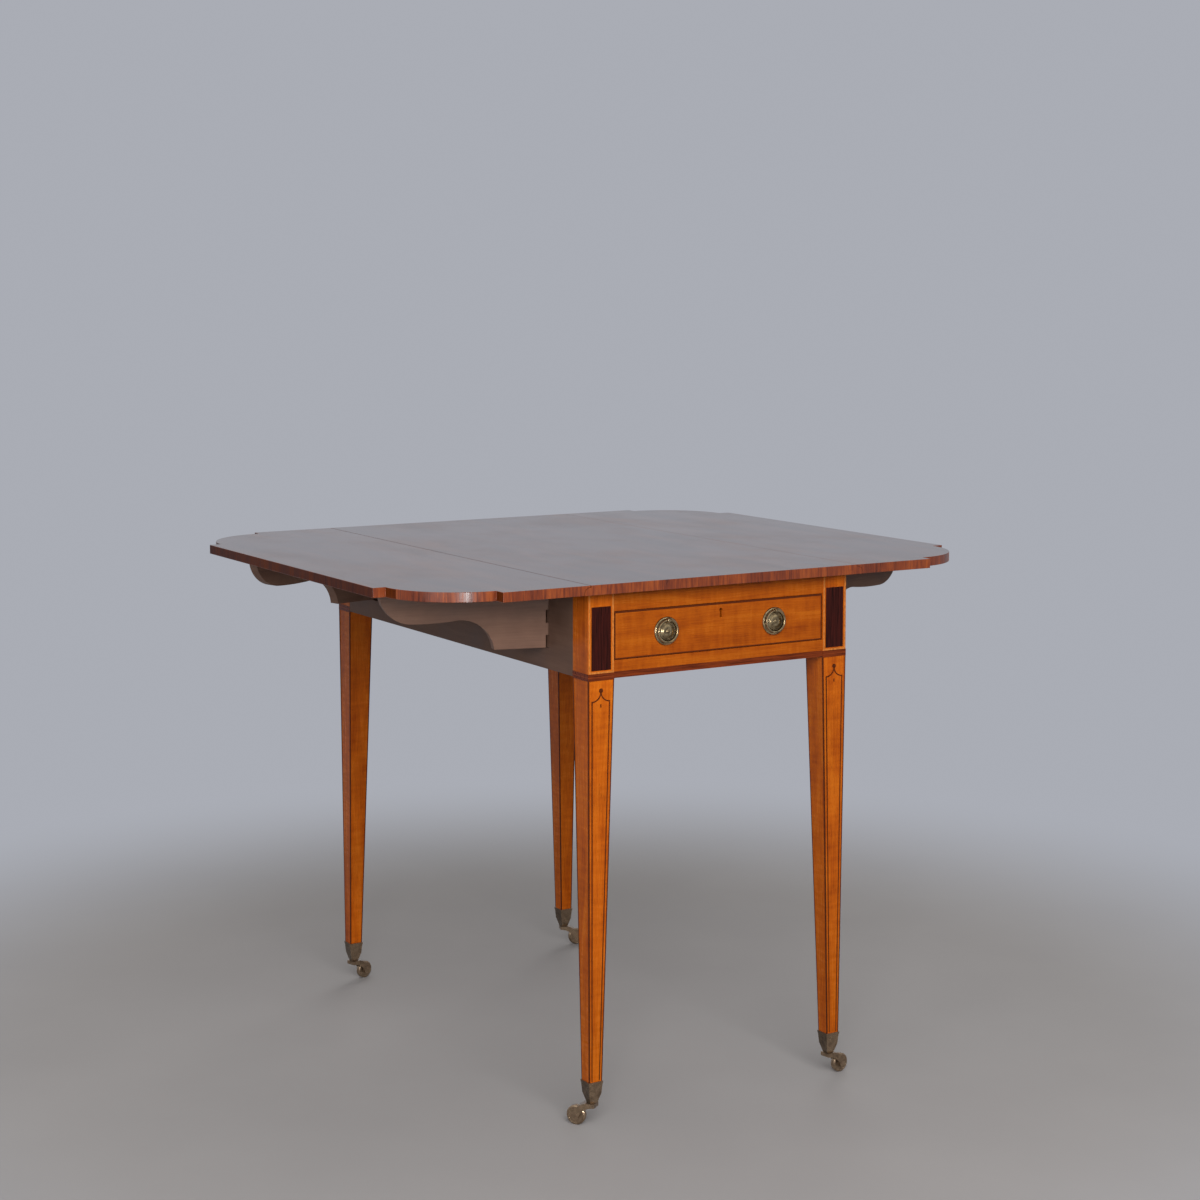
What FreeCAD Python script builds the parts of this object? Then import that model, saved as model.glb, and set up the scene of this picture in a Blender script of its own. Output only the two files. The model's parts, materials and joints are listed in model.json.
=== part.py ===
"""Pembroke table: a satinwood drop-leaf table on casters, with fly brackets and one drawer.

Millimetres. +Z is up, the drawer is at -Y, the leaves are at -X and +X, the floor is Z = 0.
Every driving size sits in the Sizes sheet, and every feature is bound to it by an expression.
"""
import FreeCAD, Part
import math
import os

import Sketcher

os.makedirs("parts", exist_ok=True)
doc = FreeCAD.newDocument("pembroke_table")
sheet = doc.addObject("Spreadsheet::Sheet", "Sizes")
nodes = []

DRIVING = [
    ("top_height", 720, "floor to the top's surface"),
    ("top_width", 920, "across both raised leaves"),
    ("top_depth", 796, "drawer end to far end"),
    ("top_thick", 13, "centre board and leaves"),
    ("seam_overhang", 6, "legs' outer faces to the visible leaf seam"),
    ("seam_gap", 0.8, "open line of the seam, room for the leaf's lift"),
    ("rule_radius", 9.5, "ovolo of the rule joint"),
    ("rule_gap", 0.3, "running gap between ovolo and cove"),
    ("corner_step", 17.5, "square step beside each ovolo corner"),
    ("corner_radius", 103.5, "ovolo corner of a leaf"),
    ("frame_width", 412, "across the legs' outer faces"),
    ("end_overhang", 17, "legs' outer faces to the end of the top"),
    ("frieze_height", 112.5, "underside of the top to the bottom of the rails"),
    ("leg_top", 39, "leg section in the frieze"),
    ("leg_foot", 19.5, "leg section where the brass begins"),
    ("leg_outer_taper", 3.7, "share of the taper on the outer faces"),
    ("foot_level", 62, "height where the brass begins"),
    ("leg_end", 43, "end of the wood inside the socket"),
    ("side_rail_thick", 18, "inner rails and fly rails"),
    ("end_rail_thick", 20, "end rails and drawer front"),
    ("end_rail_setback", 0.5, "end rails behind the legs' faces"),
    ("upper_rail_height", 25.5, "above the drawer"),
    ("lower_rail_height", 23, "below the drawer"),
    ("tenon_length", 14, "rail tenons in the legs"),
    ("tenon_thick", 8, "rail tenons in the legs"),
    ("tenon_shoulder", 4, "tenon set in from the rail's top and bottom"),
    ("strip_height", 28, "fixed strip of the fly rail below the brackets"),
    ("pin_share", 0.3543, "middle of the side to a bracket's pin, as a share of the frame's depth"),
    ("bracket_thick", 17.4, "a little less than its rail, so that it folds in flush"),
    ("reach_share", 0.8593, "length of a bracket, as a share of its pin's place"),
    ("root_share", 0.3427, "deep root of a bracket, as a share of its length"),
    ("waist_share", 0.543, "pin to the end of the cove, as a share of the length"),
    ("bracket_waist_rise", 41, "root bottom to the waist"),
    ("bracket_cove", 46, "radius of the cove"),
    ("nose_length", 43, "start of the rounded tip to its end"),
    ("bracket_swell_rise", 38, "root bottom to the swell"),
    ("bracket_swell", 400, "radius of the swell"),
    ("bracket_nose", 43, "radius of the rounded tip"),
    ("open_angle", 75, "degrees that the brackets stand open"),
    ("saw_gap", 1.2, "saw kerf between a bracket and its rail"),
    ("swing_gap", 0.4, "knuckle clearances"),
    ("leaf_gap", 0.3, "bracket to leaf"),
    ("pivot_radius", 2.5, "steel pin of a bracket"),
    ("fit_gap", 0.05, "radial running fit of pins and axles"),
    ("flap_length", 50, "hinge along the seam"),
    ("flap_frame_reach", 26, "hinge flap under the centre board"),
    ("flap_leaf_reach", 38, "hinge flap under the leaf"),
    ("flap_thick", 2, "hinge plate"),
    ("knuckle_radius", 2.5, "hinge barrel"),
    ("hinge_pin_radius", 1.4, "hinge pin"),
    ("hinge_gap", 0.3, "between the barrel's sections and to the wood"),
    ("hinge_inset", 80, "end of the top to the middle of the outer hinges"),
    ("drawer_gap", 0.6, "over and under the drawer front"),
    ("drawer_side_gap", 1, "drawer front to each leg"),
    ("drawer_recess", 1.5, "drawer front behind the legs' faces"),
    ("drawer_room", 79, "free space behind the drawer"),
    ("drawer_side", 8, "sides and back of the drawer"),
    ("drawer_bottom", 6, "bottom board of the drawer"),
    ("bottom_raise", 5, "bottom board above the sides' lower edge"),
    ("groove_depth", 4, "bottom board in its grooves"),
    ("front_lap", 13, "dovetails of the sides in the drawer front"),
    ("tail_root", 6.4, "a dovetail at its root"),
    ("tail_spread", 1.5, "a dovetail's spread on each side"),
    ("side_drop", 2, "sides below the front's upper edge"),
    ("back_drop", 10, "back below the front's upper edge"),
    ("slide_gap", 0.3, "drawer sides above the runners"),
    ("runner_width", 18, "runners and kickers"),
    ("runner_height", 12, "runners and kickers"),
    ("lock_width", 46, "lock case"),
    ("lock_height", 38, "lock case"),
    ("lock_depth", 12, "lock case, let into the drawer front"),
    ("bolt_width", 15, "lock bolt"),
    ("bolt_thick", 4.4, "lock bolt"),
    ("bolt_height", 16, "lock bolt"),
    ("bolt_throw", 6, "lock bolt travel"),
    ("bolt_gap", 0.3, "lock bolt in its case and mortise"),
    ("keyhole_radius", 2.5, "round of the keyhole"),
    ("keyhole_slot", 10, "slot of the keyhole below its round"),
    ("keyhole_slot_width", 3, "slot of the keyhole"),
    ("keyhole_drop", 10, "upper edge of the drawer front to the keyhole"),
    ("keyway_depth", 3, "keyhole in the lock case"),
    ("handle_place", 86, "centre line to a handle"),
    ("plate_radius", 19, "handle backplate"),
    ("plate_rim", 1.2, "backplate thickness at its edge"),
    ("plate_bead", 2.6, "backplate thickness at its bead"),
    ("plate_bevel", 2.4, "edge of the backplate to its bead"),
    ("plate_dish", 1.4, "backplate thickness in its dished ring"),
    ("boss_radius", 6, "boss in the middle of the plate"),
    ("boss_height", 5, "boss in the middle of the plate"),
    ("boss_round", 1.2, "rounding at the boss's shoulder"),
    ("boss_crown", 2.4, "radius of the boss's flat crown"),
    ("ring_radius", 14.5, "ring, to the middle of its wire"),
    ("ring_wire", 1.6, "radius of the ring's wire"),
    ("eye_length", 4, "post that holds the ring"),
    ("eye_height", 6.4, "post that holds the ring"),
    ("eye_gap", 0.35, "ring's wire in the post"),
    ("ring_stand", 4.6, "backplate's back to the ring's plane"),
    ("socket_proud", 0.55, "brass socket in front of the leg's faces"),
    ("socket_wall", 1.3, "wall of the socket"),
    ("socket_low", 32, "height of the socket's underside"),
    ("socket_shoulder", 45.3, "height of the socket's shoulder"),
    ("socket_belly", 18.4, "socket section at its shoulder"),
    ("socket_end", 10.3, "socket section at its underside"),
    ("socket_web", 4, "floor of the socket"),
    ("lip_height", 3.4, "lip of the socket"),
    ("lip_step", 0.35, "lip in front of the socket's faces, at its lower edge"),
    ("lip_flare", 0.75, "lip in front of the socket's faces, at its upper edge"),
    ("swivel_radius", 3, "swivel pin"),
    ("swivel_head", 5, "radius of the swivel pin's riveted head"),
    ("swivel_gap", 0.3, "horn below the socket, head above its floor"),
    ("trail", 21.4, "swivel axis to axle"),
    ("wheel_radius", 13.1, "caster wheel"),
    ("wheel_width", 9.4, "caster wheel"),
    ("wheel_gap", 0.7, "wheel to each cheek of the horn"),
    ("hub_radius", 5, "hub of the wheel"),
    ("rim_depth", 2.4, "tread to the inside of the rim"),
    ("rim_setback", 0.5, "rim behind the hub's face"),
    ("tread_bevel", 1.4, "bevel beside the tread"),
    ("web_thick", 6.6, "web between hub and rim"),
    ("cheek", 2.8, "cheeks of the horn"),
    ("cheek_end", 5.5, "radius of a cheek's round end"),
    ("cheek_hollow", 24, "radius of a cheek's inner curve"),
    ("cheek_back", 28.5, "radius of a cheek's outer curve"),
    ("horn_half", 6.2, "half length of the horn's crown"),
    ("horn_crown", 5.2, "horn above the wheel slot"),
    ("axle_radius", 2.5, "caster axle"),
]


class Size:
    """A length held twice: as an expression on the sheet and as its present number."""

    def __init__(self, text, value):
        self.text = text
        self.value = value

    def __add__(self, other):
        return combine(self, "+", other)

    def __radd__(self, other):
        return combine(other, "+", self)

    def __sub__(self, other):
        return combine(self, "-", other)

    def __rsub__(self, other):
        return combine(other, "-", self)

    def __mul__(self, other):
        return combine(self, "*", other)

    def __rmul__(self, other):
        return combine(other, "*", self)

    def __truediv__(self, other):
        return combine(self, "/", other)

    def __neg__(self):
        return combine(-1, "*", self)


def as_size(value):
    """Turns a plain number into a Size, and leaves a Size as it is."""
    return value if isinstance(value, Size) else Size(repr(value), value)


def combine(left, sign, right):
    """Joins two sizes by one of the four basic operations."""
    left, right = as_size(left), as_size(right)
    results = {
        "+": lambda: left.value + right.value,
        "-": lambda: left.value - right.value,
        "*": lambda: left.value * right.value,
        "/": lambda: left.value / right.value,
    }
    return Size(f"({left.text} {sign} {right.text})", results[sign]())


def fill_sheet():
    """Writes the driving sizes to the sheet and returns them by name."""
    named = {}
    for row, (alias, value, note) in enumerate(DRIVING, start=1):
        sheet.set(f"A{row}", note)
        sheet.set(f"B{row}", str(value))
        sheet.setAlias(f"B{row}", alias)
        named[alias] = Size(f"Sizes.{alias}", value)
    doc.recompute()
    return named


S = fill_sheet()


def bind(feature, **sizes):
    """Binds properties of a feature to sizes. A double underscore stands for a dot."""
    for path, size in sizes.items():
        feature.setExpression(path.replace("__", "."), as_size(size).text)


def place(feature, x, y, z):
    """Binds a feature's position."""
    bind(feature, Placement__Base__x=x, Placement__Base__y=y, Placement__Base__z=z)


def node(feature, label):
    """Names a finished sub-part and keeps it for the export."""
    feature.Label = label
    nodes.append(feature)
    return feature


def block(x, y, z):
    """A box between pairs of low and high sizes."""
    feature = doc.addObject("Part::Box", "Block")
    bind(feature, Length=x[1] - x[0], Width=y[1] - y[0], Height=z[1] - z[0])
    place(feature, x[0], y[0], z[0])
    return feature


def rod(radius, x, y, z, length, axis="z"):
    """A round bar that starts at a point and runs along an axis."""
    feature = doc.addObject("Part::Cylinder", "Rod")
    bind(feature, Radius=radius, Height=length)
    turns = {"x": ((0, 1, 0), 90), "y": ((1, 0, 0), -90), "z": ((0, 0, 1), 0)}
    direction, angle = turns[axis]
    feature.Placement.Rotation = FreeCAD.Rotation(FreeCAD.Vector(*direction), angle)
    place(feature, x, y, z)
    return feature


def taper(low, high, z_low, z_high):
    """A square stem between two rectangles, each given as (x pair, y pair)."""
    feature = doc.addObject("Part::Wedge", "Taper")
    # The wedge grows along its own Y, which is turned to stand upright.
    feature.Placement.Rotation = FreeCAD.Rotation(FreeCAD.Vector(1, 0, 0), 90)
    (low_x, low_y), (high_x, high_y) = low, high
    bind(feature, Ymin=z_low, Ymax=z_high, Xmin=low_x[0], Xmax=low_x[1], X2min=high_x[0], X2max=high_x[1])
    bind(feature, Zmin=-low_y[1], Zmax=-low_y[0], Z2min=-high_y[1], Z2max=-high_y[0])
    return feature


def fuse(*shapes):
    """Joins shapes into one solid without the seams between flush faces."""
    feature = doc.addObject("Part::MultiFuse", "Fuse")
    feature.Shapes = list(shapes)
    feature.Refine = True
    return feature


def group(*shapes):
    """Holds separate solids of one kind as one sub-part."""
    feature = doc.addObject("Part::Compound", "Group")
    feature.Links = list(shapes)
    return feature


def cut(base, *tools):
    """Takes one or more shapes out of another."""
    feature = doc.addObject("Part::Cut", "Cut")
    feature.Base = base
    feature.Tool = tools[0] if len(tools) == 1 else fuse(*tools)
    feature.Refine = True
    return feature


def arc_between(start, end, radius, bulge):
    """The arc from start to end that swells to the left (1) or right (-1) of the way between them."""
    chord = end - start
    left = FreeCAD.Vector(-chord.y, chord.x, 0).normalize()
    height = math.sqrt(max(radius ** 2 - chord.Length ** 2 / 4, 0))
    centre = (start + end) * 0.5 - left * (height * bulge)
    angles = [math.atan2(point.y - centre.y, point.x - centre.x) for point in (start, end)]
    if bulge > 0:
        angles.reverse()
    circle = Part.Circle(centre, FreeCAD.Vector(0, 0, 1), radius)
    return Part.ArcOfCircle(circle, angles[0], angles[1])


def draw(sketch, points, arcs):
    """Draws a closed outline and ties its corners and radii to the sheet."""
    corners = [(as_size(across), as_size(up)) for across, up in points]
    places = [FreeCAD.Vector(across.value, up.value, 0) for across, up in corners]
    count = len(corners)
    ends = []
    for i, start in enumerate(places):
        end = places[(i + 1) % count]
        if i in arcs:
            radius, bulge = arcs[i]
            sketch.addGeometry(arc_between(start, end, as_size(radius).value, bulge), False)
            ends.append((2, 1) if bulge > 0 else (1, 2))
        else:
            sketch.addGeometry(Part.LineSegment(start, end), False)
            ends.append((1, 2))
    for i in range(count):
        following = (i + 1) % count
        sketch.addConstraint(Sketcher.Constraint("Coincident", i, ends[i][1], following, ends[following][0]))
    for i, (across, up) in enumerate(corners):
        tie(sketch, "DistanceX", i, ends[i][0], across, -2)
        tie(sketch, "DistanceY", i, ends[i][0], up, -1)
    for i, (radius, bulge) in arcs.items():
        index = sketch.addConstraint(Sketcher.Constraint("Radius", i, as_size(radius).value))
        sketch.setExpression(f"Constraints[{index}]", as_size(radius).text)


def tie(sketch, kind, edge, end, size, axis):
    """Ties one coordinate of a corner to a size, or to the sketch's axis where it is zero."""
    if size.text == "0":
        sketch.addConstraint(Sketcher.Constraint("PointOnObject", edge, end, axis))
        return
    index = sketch.addConstraint(Sketcher.Constraint(kind, -1, 1, edge, end, size.value))
    sketch.setExpression(f"Constraints[{index}]", size.text)


def sketched(plane, points, arcs):
    """A body with one outline on one of its origin planes."""
    body = doc.addObject("PartDesign::Body", "Body")
    sketch = body.newObject("Sketcher::SketchObject", "Outline")
    support = [item for item in body.Origin.OriginFeatures if item.Role == plane]
    sketch.AttachmentSupport = [(support[0], "")]
    sketch.MapMode = "FlatFace"
    draw(sketch, points, arcs)
    return body, sketch


def board(plane, points, thick, arcs=None):
    """An outline made into a board, with the plane in the middle of its thickness."""
    body, sketch = sketched(plane, points, arcs or {})
    pad = body.newObject("PartDesign::Pad", "Board")
    pad.Profile = sketch
    pad.Midplane = True
    bind(pad, Length=thick)
    return body


def turned(points):
    """A half outline on the XZ plane turned about Z."""
    body, sketch = sketched("XZ_Plane", points, {})
    turn = body.newObject("PartDesign::Revolution", "Turned")
    turn.Profile = sketch
    turn.ReferenceAxis = (sketch, ["V_Axis"])
    turn.Angle = 360
    return body


def mirrored(side, low, high):
    """A pair of low and high sizes, given for the positive side, on either side of the centre."""
    return (low, high) if side > 0 else (-high, -low)


# Levels and faces that several pieces share.
underside = S["top_height"] - S["top_thick"]
frieze_low = underside - S["frieze_height"]
half_x = S["frame_width"] / 2
half_y = S["top_depth"] / 2 - S["end_overhang"]
seam = half_x + S["seam_overhang"]
leg_in_x = half_x - S["leg_top"]
leg_in_y = half_y - S["leg_top"]
rule_axis = S["top_height"] - S["top_thick"] + S["flap_thick"] / 2
lower_rail_top = frieze_low + S["lower_rail_height"]
upper_rail_low = underside - S["upper_rail_height"]
rail_inner_x = half_x - 2 * S["side_rail_thick"]
drawer_low = lower_rail_top + S["drawer_gap"]
drawer_top = upper_rail_low - S["drawer_gap"]
drawer_face = half_y - S["drawer_recess"]
drawer_inner = drawer_face - S["end_rail_thick"]
drawer_half = leg_in_x - S["drawer_side_gap"]
handle_level = (drawer_low + drawer_top) / 2
pivot_x = half_x - S["side_rail_thick"] / 2
pivot_y = 2 * half_y * S["pin_share"]
bracket_length = pivot_y * S["reach_share"]
bracket_root = bracket_length * S["root_share"]
bracket_waist = bracket_length * S["waist_share"]
bracket_swell = bracket_length - S["nose_length"]
bracket_low = frieze_low + S["strip_height"] + S["drawer_gap"]
bracket_height = underside - S["leaf_gap"] - bracket_low
caster_x = half_x - S["leg_outer_taper"] - S["leg_foot"] / 2
caster_y = half_y - S["leg_outer_taper"] - S["leg_foot"] / 2
SIDES = {"left": -1, "right": 1}
ENDS = {"front": -1, "back": 1}
# Directions in which the casters trail in the photograph, in degrees from +X.
TRAILS = {"front_left": 128, "front_right": 7, "back_left": 16, "back_right": -20}
# Fingers of a bracket's wooden knuckle, alternately the rail's and the bracket's.
FINGERS = 5
# Dovetails at each end of a drawer side.
TAILS = 3


def hinge_places():
    """Centres of the three hinges along a seam."""
    outer = S["top_depth"] / 2 - S["hinge_inset"]
    return [-outer, as_size(0), outer]


def centre_board():
    """Centre of the top: its long edges carry the ovolo of the rule joint over recessed hinge barrels."""
    seam_edge = seam - S["seam_gap"] / 2
    low_edge = seam + S["rule_radius"]
    ovolo_top = rule_axis + S["rule_radius"]
    outline = [
        (-low_edge, underside),
        (low_edge, underside),
        (low_edge, rule_axis),
        (seam_edge, ovolo_top),
        (seam_edge, S["top_height"]),
        (-seam_edge, S["top_height"]),
        (-seam_edge, ovolo_top),
        (-low_edge, rule_axis),
    ]
    arcs = {2: (S["rule_radius"], -1), 6: (S["rule_radius"], -1)}
    blank = board("XZ_Plane", outline, S["top_depth"], arcs)
    recesses = []
    half_long = S["flap_length"] / 2
    barrel = S["knuckle_radius"] + S["hinge_gap"]
    for side in SIDES.values():
        for middle in hinge_places():
            flap = mirrored(side, seam - S["flap_frame_reach"], seam - barrel)
            along = (middle - half_long, middle + half_long)
            recesses.append(block(flap, along, (underside, underside + S["flap_thick"])))
            slot = mirrored(side, seam - barrel, low_edge + S["hinge_gap"])
            wide = (along[0] - S["hinge_gap"], along[1] + S["hinge_gap"])
            recesses.append(block(slot, wide, (underside, rule_axis + barrel)))
    node(cut(blank, *recesses), "centre_top")


def leaf(name, side):
    """Drop leaf with ovolo outer corners and the cove of the rule joint on its inner edge."""
    inner = side * (seam + S["seam_gap"] / 2)
    outer = side * (S["top_width"] / 2)
    stepped = side * (S["top_width"] / 2 - S["corner_step"])
    turn_x = side * (S["top_width"] / 2 - S["corner_step"] - S["corner_radius"])
    end = S["top_depth"] / 2
    end_in = end - S["corner_step"]
    turn_y = end_in - S["corner_radius"]
    outline = [
        (inner, -end),
        (turn_x, -end),
        (turn_x, -end_in),
        (stepped, -turn_y),
        (outer, -turn_y),
        (outer, turn_y),
        (stepped, turn_y),
        (turn_x, end_in),
        (turn_x, end),
        (inner, end),
    ]
    arcs = {2: (S["corner_radius"], -side), 6: (S["corner_radius"], -side)}
    blank = board("XY_Plane", outline, S["top_thick"], arcs)
    place(blank, 0, 0, underside + S["top_thick"] / 2)
    tools = [rod(S["rule_radius"] + S["rule_gap"], side * seam, -end, rule_axis, S["top_depth"], "y")]
    half_long = S["flap_length"] / 2
    for middle in hinge_places():
        flap = mirrored(side, seam + S["rule_radius"], seam + S["flap_leaf_reach"])
        along = (middle - half_long, middle + half_long)
        tools.append(block(flap, along, (underside, underside + S["flap_thick"])))
    node(cut(blank, *tools), f"{name}_leaf")


def hinges(name, side):
    """Three table hinges under a seam: frame flaps, leaf flaps and pins, each as a group."""
    frame_flaps = []
    leaf_flaps = []
    pins = []
    half_long = S["flap_length"] / 2
    third = S["flap_length"] / 3
    clear = S["knuckle_radius"] + S["hinge_gap"]
    plate = (underside, underside + S["flap_thick"])
    axis_x = side * seam
    for middle in hinge_places():
        low = middle - half_long
        high = middle + half_long
        bore = rod(S["hinge_pin_radius"] + S["fit_gap"], axis_x, low, rule_axis, S["flap_length"], "y")
        frame_x = mirrored(side, seam - S["flap_frame_reach"], seam - clear)
        frame_parts = [block(frame_x, (low, high), plate)]
        for start in (low, high - third):
            root = mirrored(side, seam - clear, seam)
            frame_parts.append(block(root, (start, start + third), plate))
            frame_parts.append(rod(S["knuckle_radius"], axis_x, start, rule_axis, third, "y"))
        frame_flaps.append(cut(fuse(*frame_parts), bore))
        start = low + third + S["hinge_gap"]
        length = third - 2 * S["hinge_gap"]
        leaf_x = mirrored(side, seam + clear, seam + S["flap_leaf_reach"])
        leaf_plate = block(leaf_x, (low, high), plate)
        leaf_root = block(mirrored(side, seam, seam + clear), (start, start + length), plate)
        leaf_barrel = rod(S["knuckle_radius"], axis_x, start, rule_axis, length, "y")
        leaf_bore = rod(S["hinge_pin_radius"] + S["fit_gap"], axis_x, low, rule_axis, S["flap_length"], "y")
        leaf_flaps.append(cut(fuse(leaf_plate, leaf_root, leaf_barrel), leaf_bore))
        pins.append(rod(S["hinge_pin_radius"], axis_x, low, rule_axis, S["flap_length"], "y"))
    node(group(*frame_flaps), f"{name}_hinge_frame_flaps")
    node(group(*leaf_flaps), f"{name}_hinge_leaf_flaps")
    node(group(*pins), f"{name}_hinge_pins")


def corner_section(side, end, outer, inner):
    """The x and y pairs of a square stem whose faces lie at two distances inside the frame's outer faces."""
    return mirrored(side, half_x - inner, half_x - outer), mirrored(end, half_y - inner, half_y - outer)


def foot_section(side, end):
    """A leg's section where the brass begins."""
    return corner_section(side, end, S["leg_outer_taper"], S["leg_outer_taper"] + S["leg_foot"])


def grown(section, size):
    """A leg section made larger by the same size on all four faces."""
    return tuple((low - size, high + size) for low, high in section)


def centred(middle, size):
    """A pair of low and high sizes on either side of a middle."""
    return middle - size / 2, middle + size / 2


def plug_section(side, end):
    """Section of the wood at its end inside the socket, which narrows with the socket."""
    share = (S["leg_end"] - S["socket_low"]) / (S["socket_shoulder"] - S["socket_low"])
    spread = (S["socket_belly"] - S["socket_end"]) / 2
    half = S["socket_end"] / 2 + spread * share - S["socket_wall"]
    middle = S["leg_outer_taper"] + S["leg_foot"] / 2
    return corner_section(side, end, middle - half, middle + half)


def plug(side, end):
    """The foot of a leg inside its socket, cut back so that the brass stands a little proud of the leg."""
    inside = grown(foot_section(side, end), S["socket_proud"] - S["socket_wall"])
    return taper(plug_section(side, end), inside, S["leg_end"], S["foot_level"])


def side_tenon(side, end, z):
    """Tenon of an inner side rail in a leg."""
    middle = rail_inner_x + S["side_rail_thick"] / 2
    x = mirrored(side, middle - S["tenon_thick"] / 2, middle + S["tenon_thick"] / 2)
    return block(x, mirrored(end, leg_in_y, leg_in_y + S["tenon_length"]), z)


def end_tenon(side, end, z):
    """Tenon of an end rail in a leg."""
    middle = half_y - S["end_rail_setback"] - S["end_rail_thick"] / 2
    y = mirrored(end, middle - S["tenon_thick"] / 2, middle + S["tenon_thick"] / 2)
    return block(mirrored(side, leg_in_x, leg_in_x + S["tenon_length"]), y, z)


def shouldered(low, high):
    """The height of a tenon on a rail that runs between two levels."""
    return low + S["tenon_shoulder"], high - S["tenon_shoulder"]


def leg(name, side, end):
    """Square leg: straight through the frieze, tapered below it, mortised for the rails."""
    straight = (mirrored(side, leg_in_x, half_x), mirrored(end, leg_in_y, half_y))
    head = block(*straight, (frieze_low, underside))
    stem = taper(foot_section(side, end), straight, S["foot_level"], frieze_low)
    mortises = [
        side_tenon(side, end, shouldered(frieze_low, underside)),
        end_tenon(side, end, shouldered(frieze_low, lower_rail_top)),
        end_tenon(side, end, shouldered(upper_rail_low, underside)),
    ]
    node(cut(fuse(head, stem, plug(side, end)), *mortises), f"{name}_leg")


def end_rail(label, end, low, high, mortise=None):
    """Rail across an end of the frame, tenoned into two legs."""
    face = half_y - S["end_rail_setback"]
    body = block((-leg_in_x, leg_in_x), mirrored(end, face - S["end_rail_thick"], face), (low, high))
    tenons = [end_tenon(side, end, shouldered(low, high)) for side in SIDES.values()]
    rail = fuse(body, *tenons)
    node(cut(rail, mortise) if mortise else rail, label)


def side_rails(name, side):
    """Inner side rail, tenoned into two legs."""
    x = mirrored(side, rail_inner_x, rail_inner_x + S["side_rail_thick"])
    body = block(x, (-leg_in_y, leg_in_y), (frieze_low, underside))
    tenons = [side_tenon(side, end, shouldered(frieze_low, underside)) for end in ENDS.values()]
    node(fuse(body, *tenons), f"{name}_inner_rail")


def finger(level):
    """Lower and upper height of one of the fingers of a bracket's knuckle."""
    step = bracket_height / FINGERS
    low = bracket_low + step * level + S["swing_gap"] / 2
    return low, low + step - S["swing_gap"]


def fly_rail(name, side):
    """Outer rail: fixed strip, end blocks with knuckle fingers, and the cut that frees the brackets."""
    pivot = pivot_y
    strip_top = frieze_low + S["strip_height"]
    kerf = S["saw_gap"]
    block_end = pivot + S["side_rail_thick"] / 2 + S["swing_gap"]
    root = pivot - bracket_root - kerf
    waist = pivot - bracket_waist
    swell = pivot - bracket_swell - kerf
    tip = pivot - bracket_length - kerf
    waist_level = bracket_low + S["bracket_waist_rise"] - kerf
    swell_level = bracket_low + S["bracket_swell_rise"] - kerf
    nose_level = swell_level + S["bracket_nose"]
    half = [
        (block_end, underside),
        (block_end, strip_top),
        (root, strip_top),
        (waist, waist_level),
        (swell, swell_level),
        (tip, nose_level),
        (tip, underside),
    ]
    outline = [(leg_in_y, frieze_low), (leg_in_y, underside)] + half
    outline += [(-y, z) for y, z in reversed(half)] + [(-leg_in_y, underside), (-leg_in_y, frieze_low)]
    arcs = {
        4: (S["bracket_cove"] - kerf, -1),
        5: (S["bracket_swell"], 1),
        6: (S["bracket_nose"] + kerf, 1),
        10: (S["bracket_nose"] + kerf, 1),
        11: (S["bracket_swell"], 1),
        12: (S["bracket_cove"] - kerf, -1),
    }
    blank = board("YZ_Plane", outline, S["side_rail_thick"], arcs)
    place(blank, side * pivot_x, 0, 0)
    x = mirrored(side, half_x - S["side_rail_thick"], half_x)
    parts = [blank]
    bores = []
    for end in ENDS.values():
        for level in range(0, FINGERS, 2):
            low, high = finger(level)
            parts.append(block(x, mirrored(end, pivot, block_end), (low, high)))
            parts.append(rod(S["side_rail_thick"] / 2, side * pivot_x, end * pivot, low, high - low))
        bores.append(rod(S["pivot_radius"], side * pivot_x, end * pivot, strip_top, underside - strip_top))
    node(cut(fuse(*parts), *bores), f"{name}_fly_rail")


def bracket_pins(name, side):
    """Steel pins through the knuckles of a side's two brackets."""
    strip_top = frieze_low + S["strip_height"]
    length = underside - strip_top
    pins = []
    for end in ENDS.values():
        pins.append(rod(S["pivot_radius"], side * pivot_x, end * pivot_y, strip_top, length))
    node(group(*pins), f"{name}_bracket_pins")


def bracket(name, side, end):
    """Fly bracket with its ogee underside, standing open under the leaf."""
    start = S["side_rail_thick"] / 2 + S["swing_gap"]
    nose_level = S["bracket_swell_rise"] + S["bracket_nose"]
    outline = [
        (start, 0),
        (bracket_root, 0),
        (bracket_waist, S["bracket_waist_rise"]),
        (bracket_swell, S["bracket_swell_rise"]),
        (bracket_length, nose_level),
        (bracket_length, bracket_height),
        (start, bracket_height),
    ]
    arcs = {
        1: (S["bracket_cove"], 1),
        2: (S["bracket_swell"], -1),
        3: (S["bracket_nose"], -1),
    }
    parts = [board("XZ_Plane", outline, S["bracket_thick"], arcs)]
    half = S["bracket_thick"] / 2
    for level in range(1, FINGERS, 2):
        low, high = finger(level)
        parts.append(block((as_size(0), start), (-half, half), (low - bracket_low, high - bracket_low)))
        parts.append(rod(half, as_size(0), as_size(0), low - bracket_low, high - low))
    bore = rod(S["pivot_radius"] + S["fit_gap"], as_size(0), as_size(0), as_size(0), bracket_height)
    solid = cut(fuse(*parts), bore)
    place(solid, side * pivot_x, end * pivot_y, bracket_low)
    # Folded, a bracket points to the middle of the side. It opens from there towards its leaf.
    folded = -90 * end
    opening = side * end * S["open_angle"]
    bind(solid, Placement__Rotation__Angle=folded + opening)
    node(solid, f"{name}_bracket")


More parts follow.
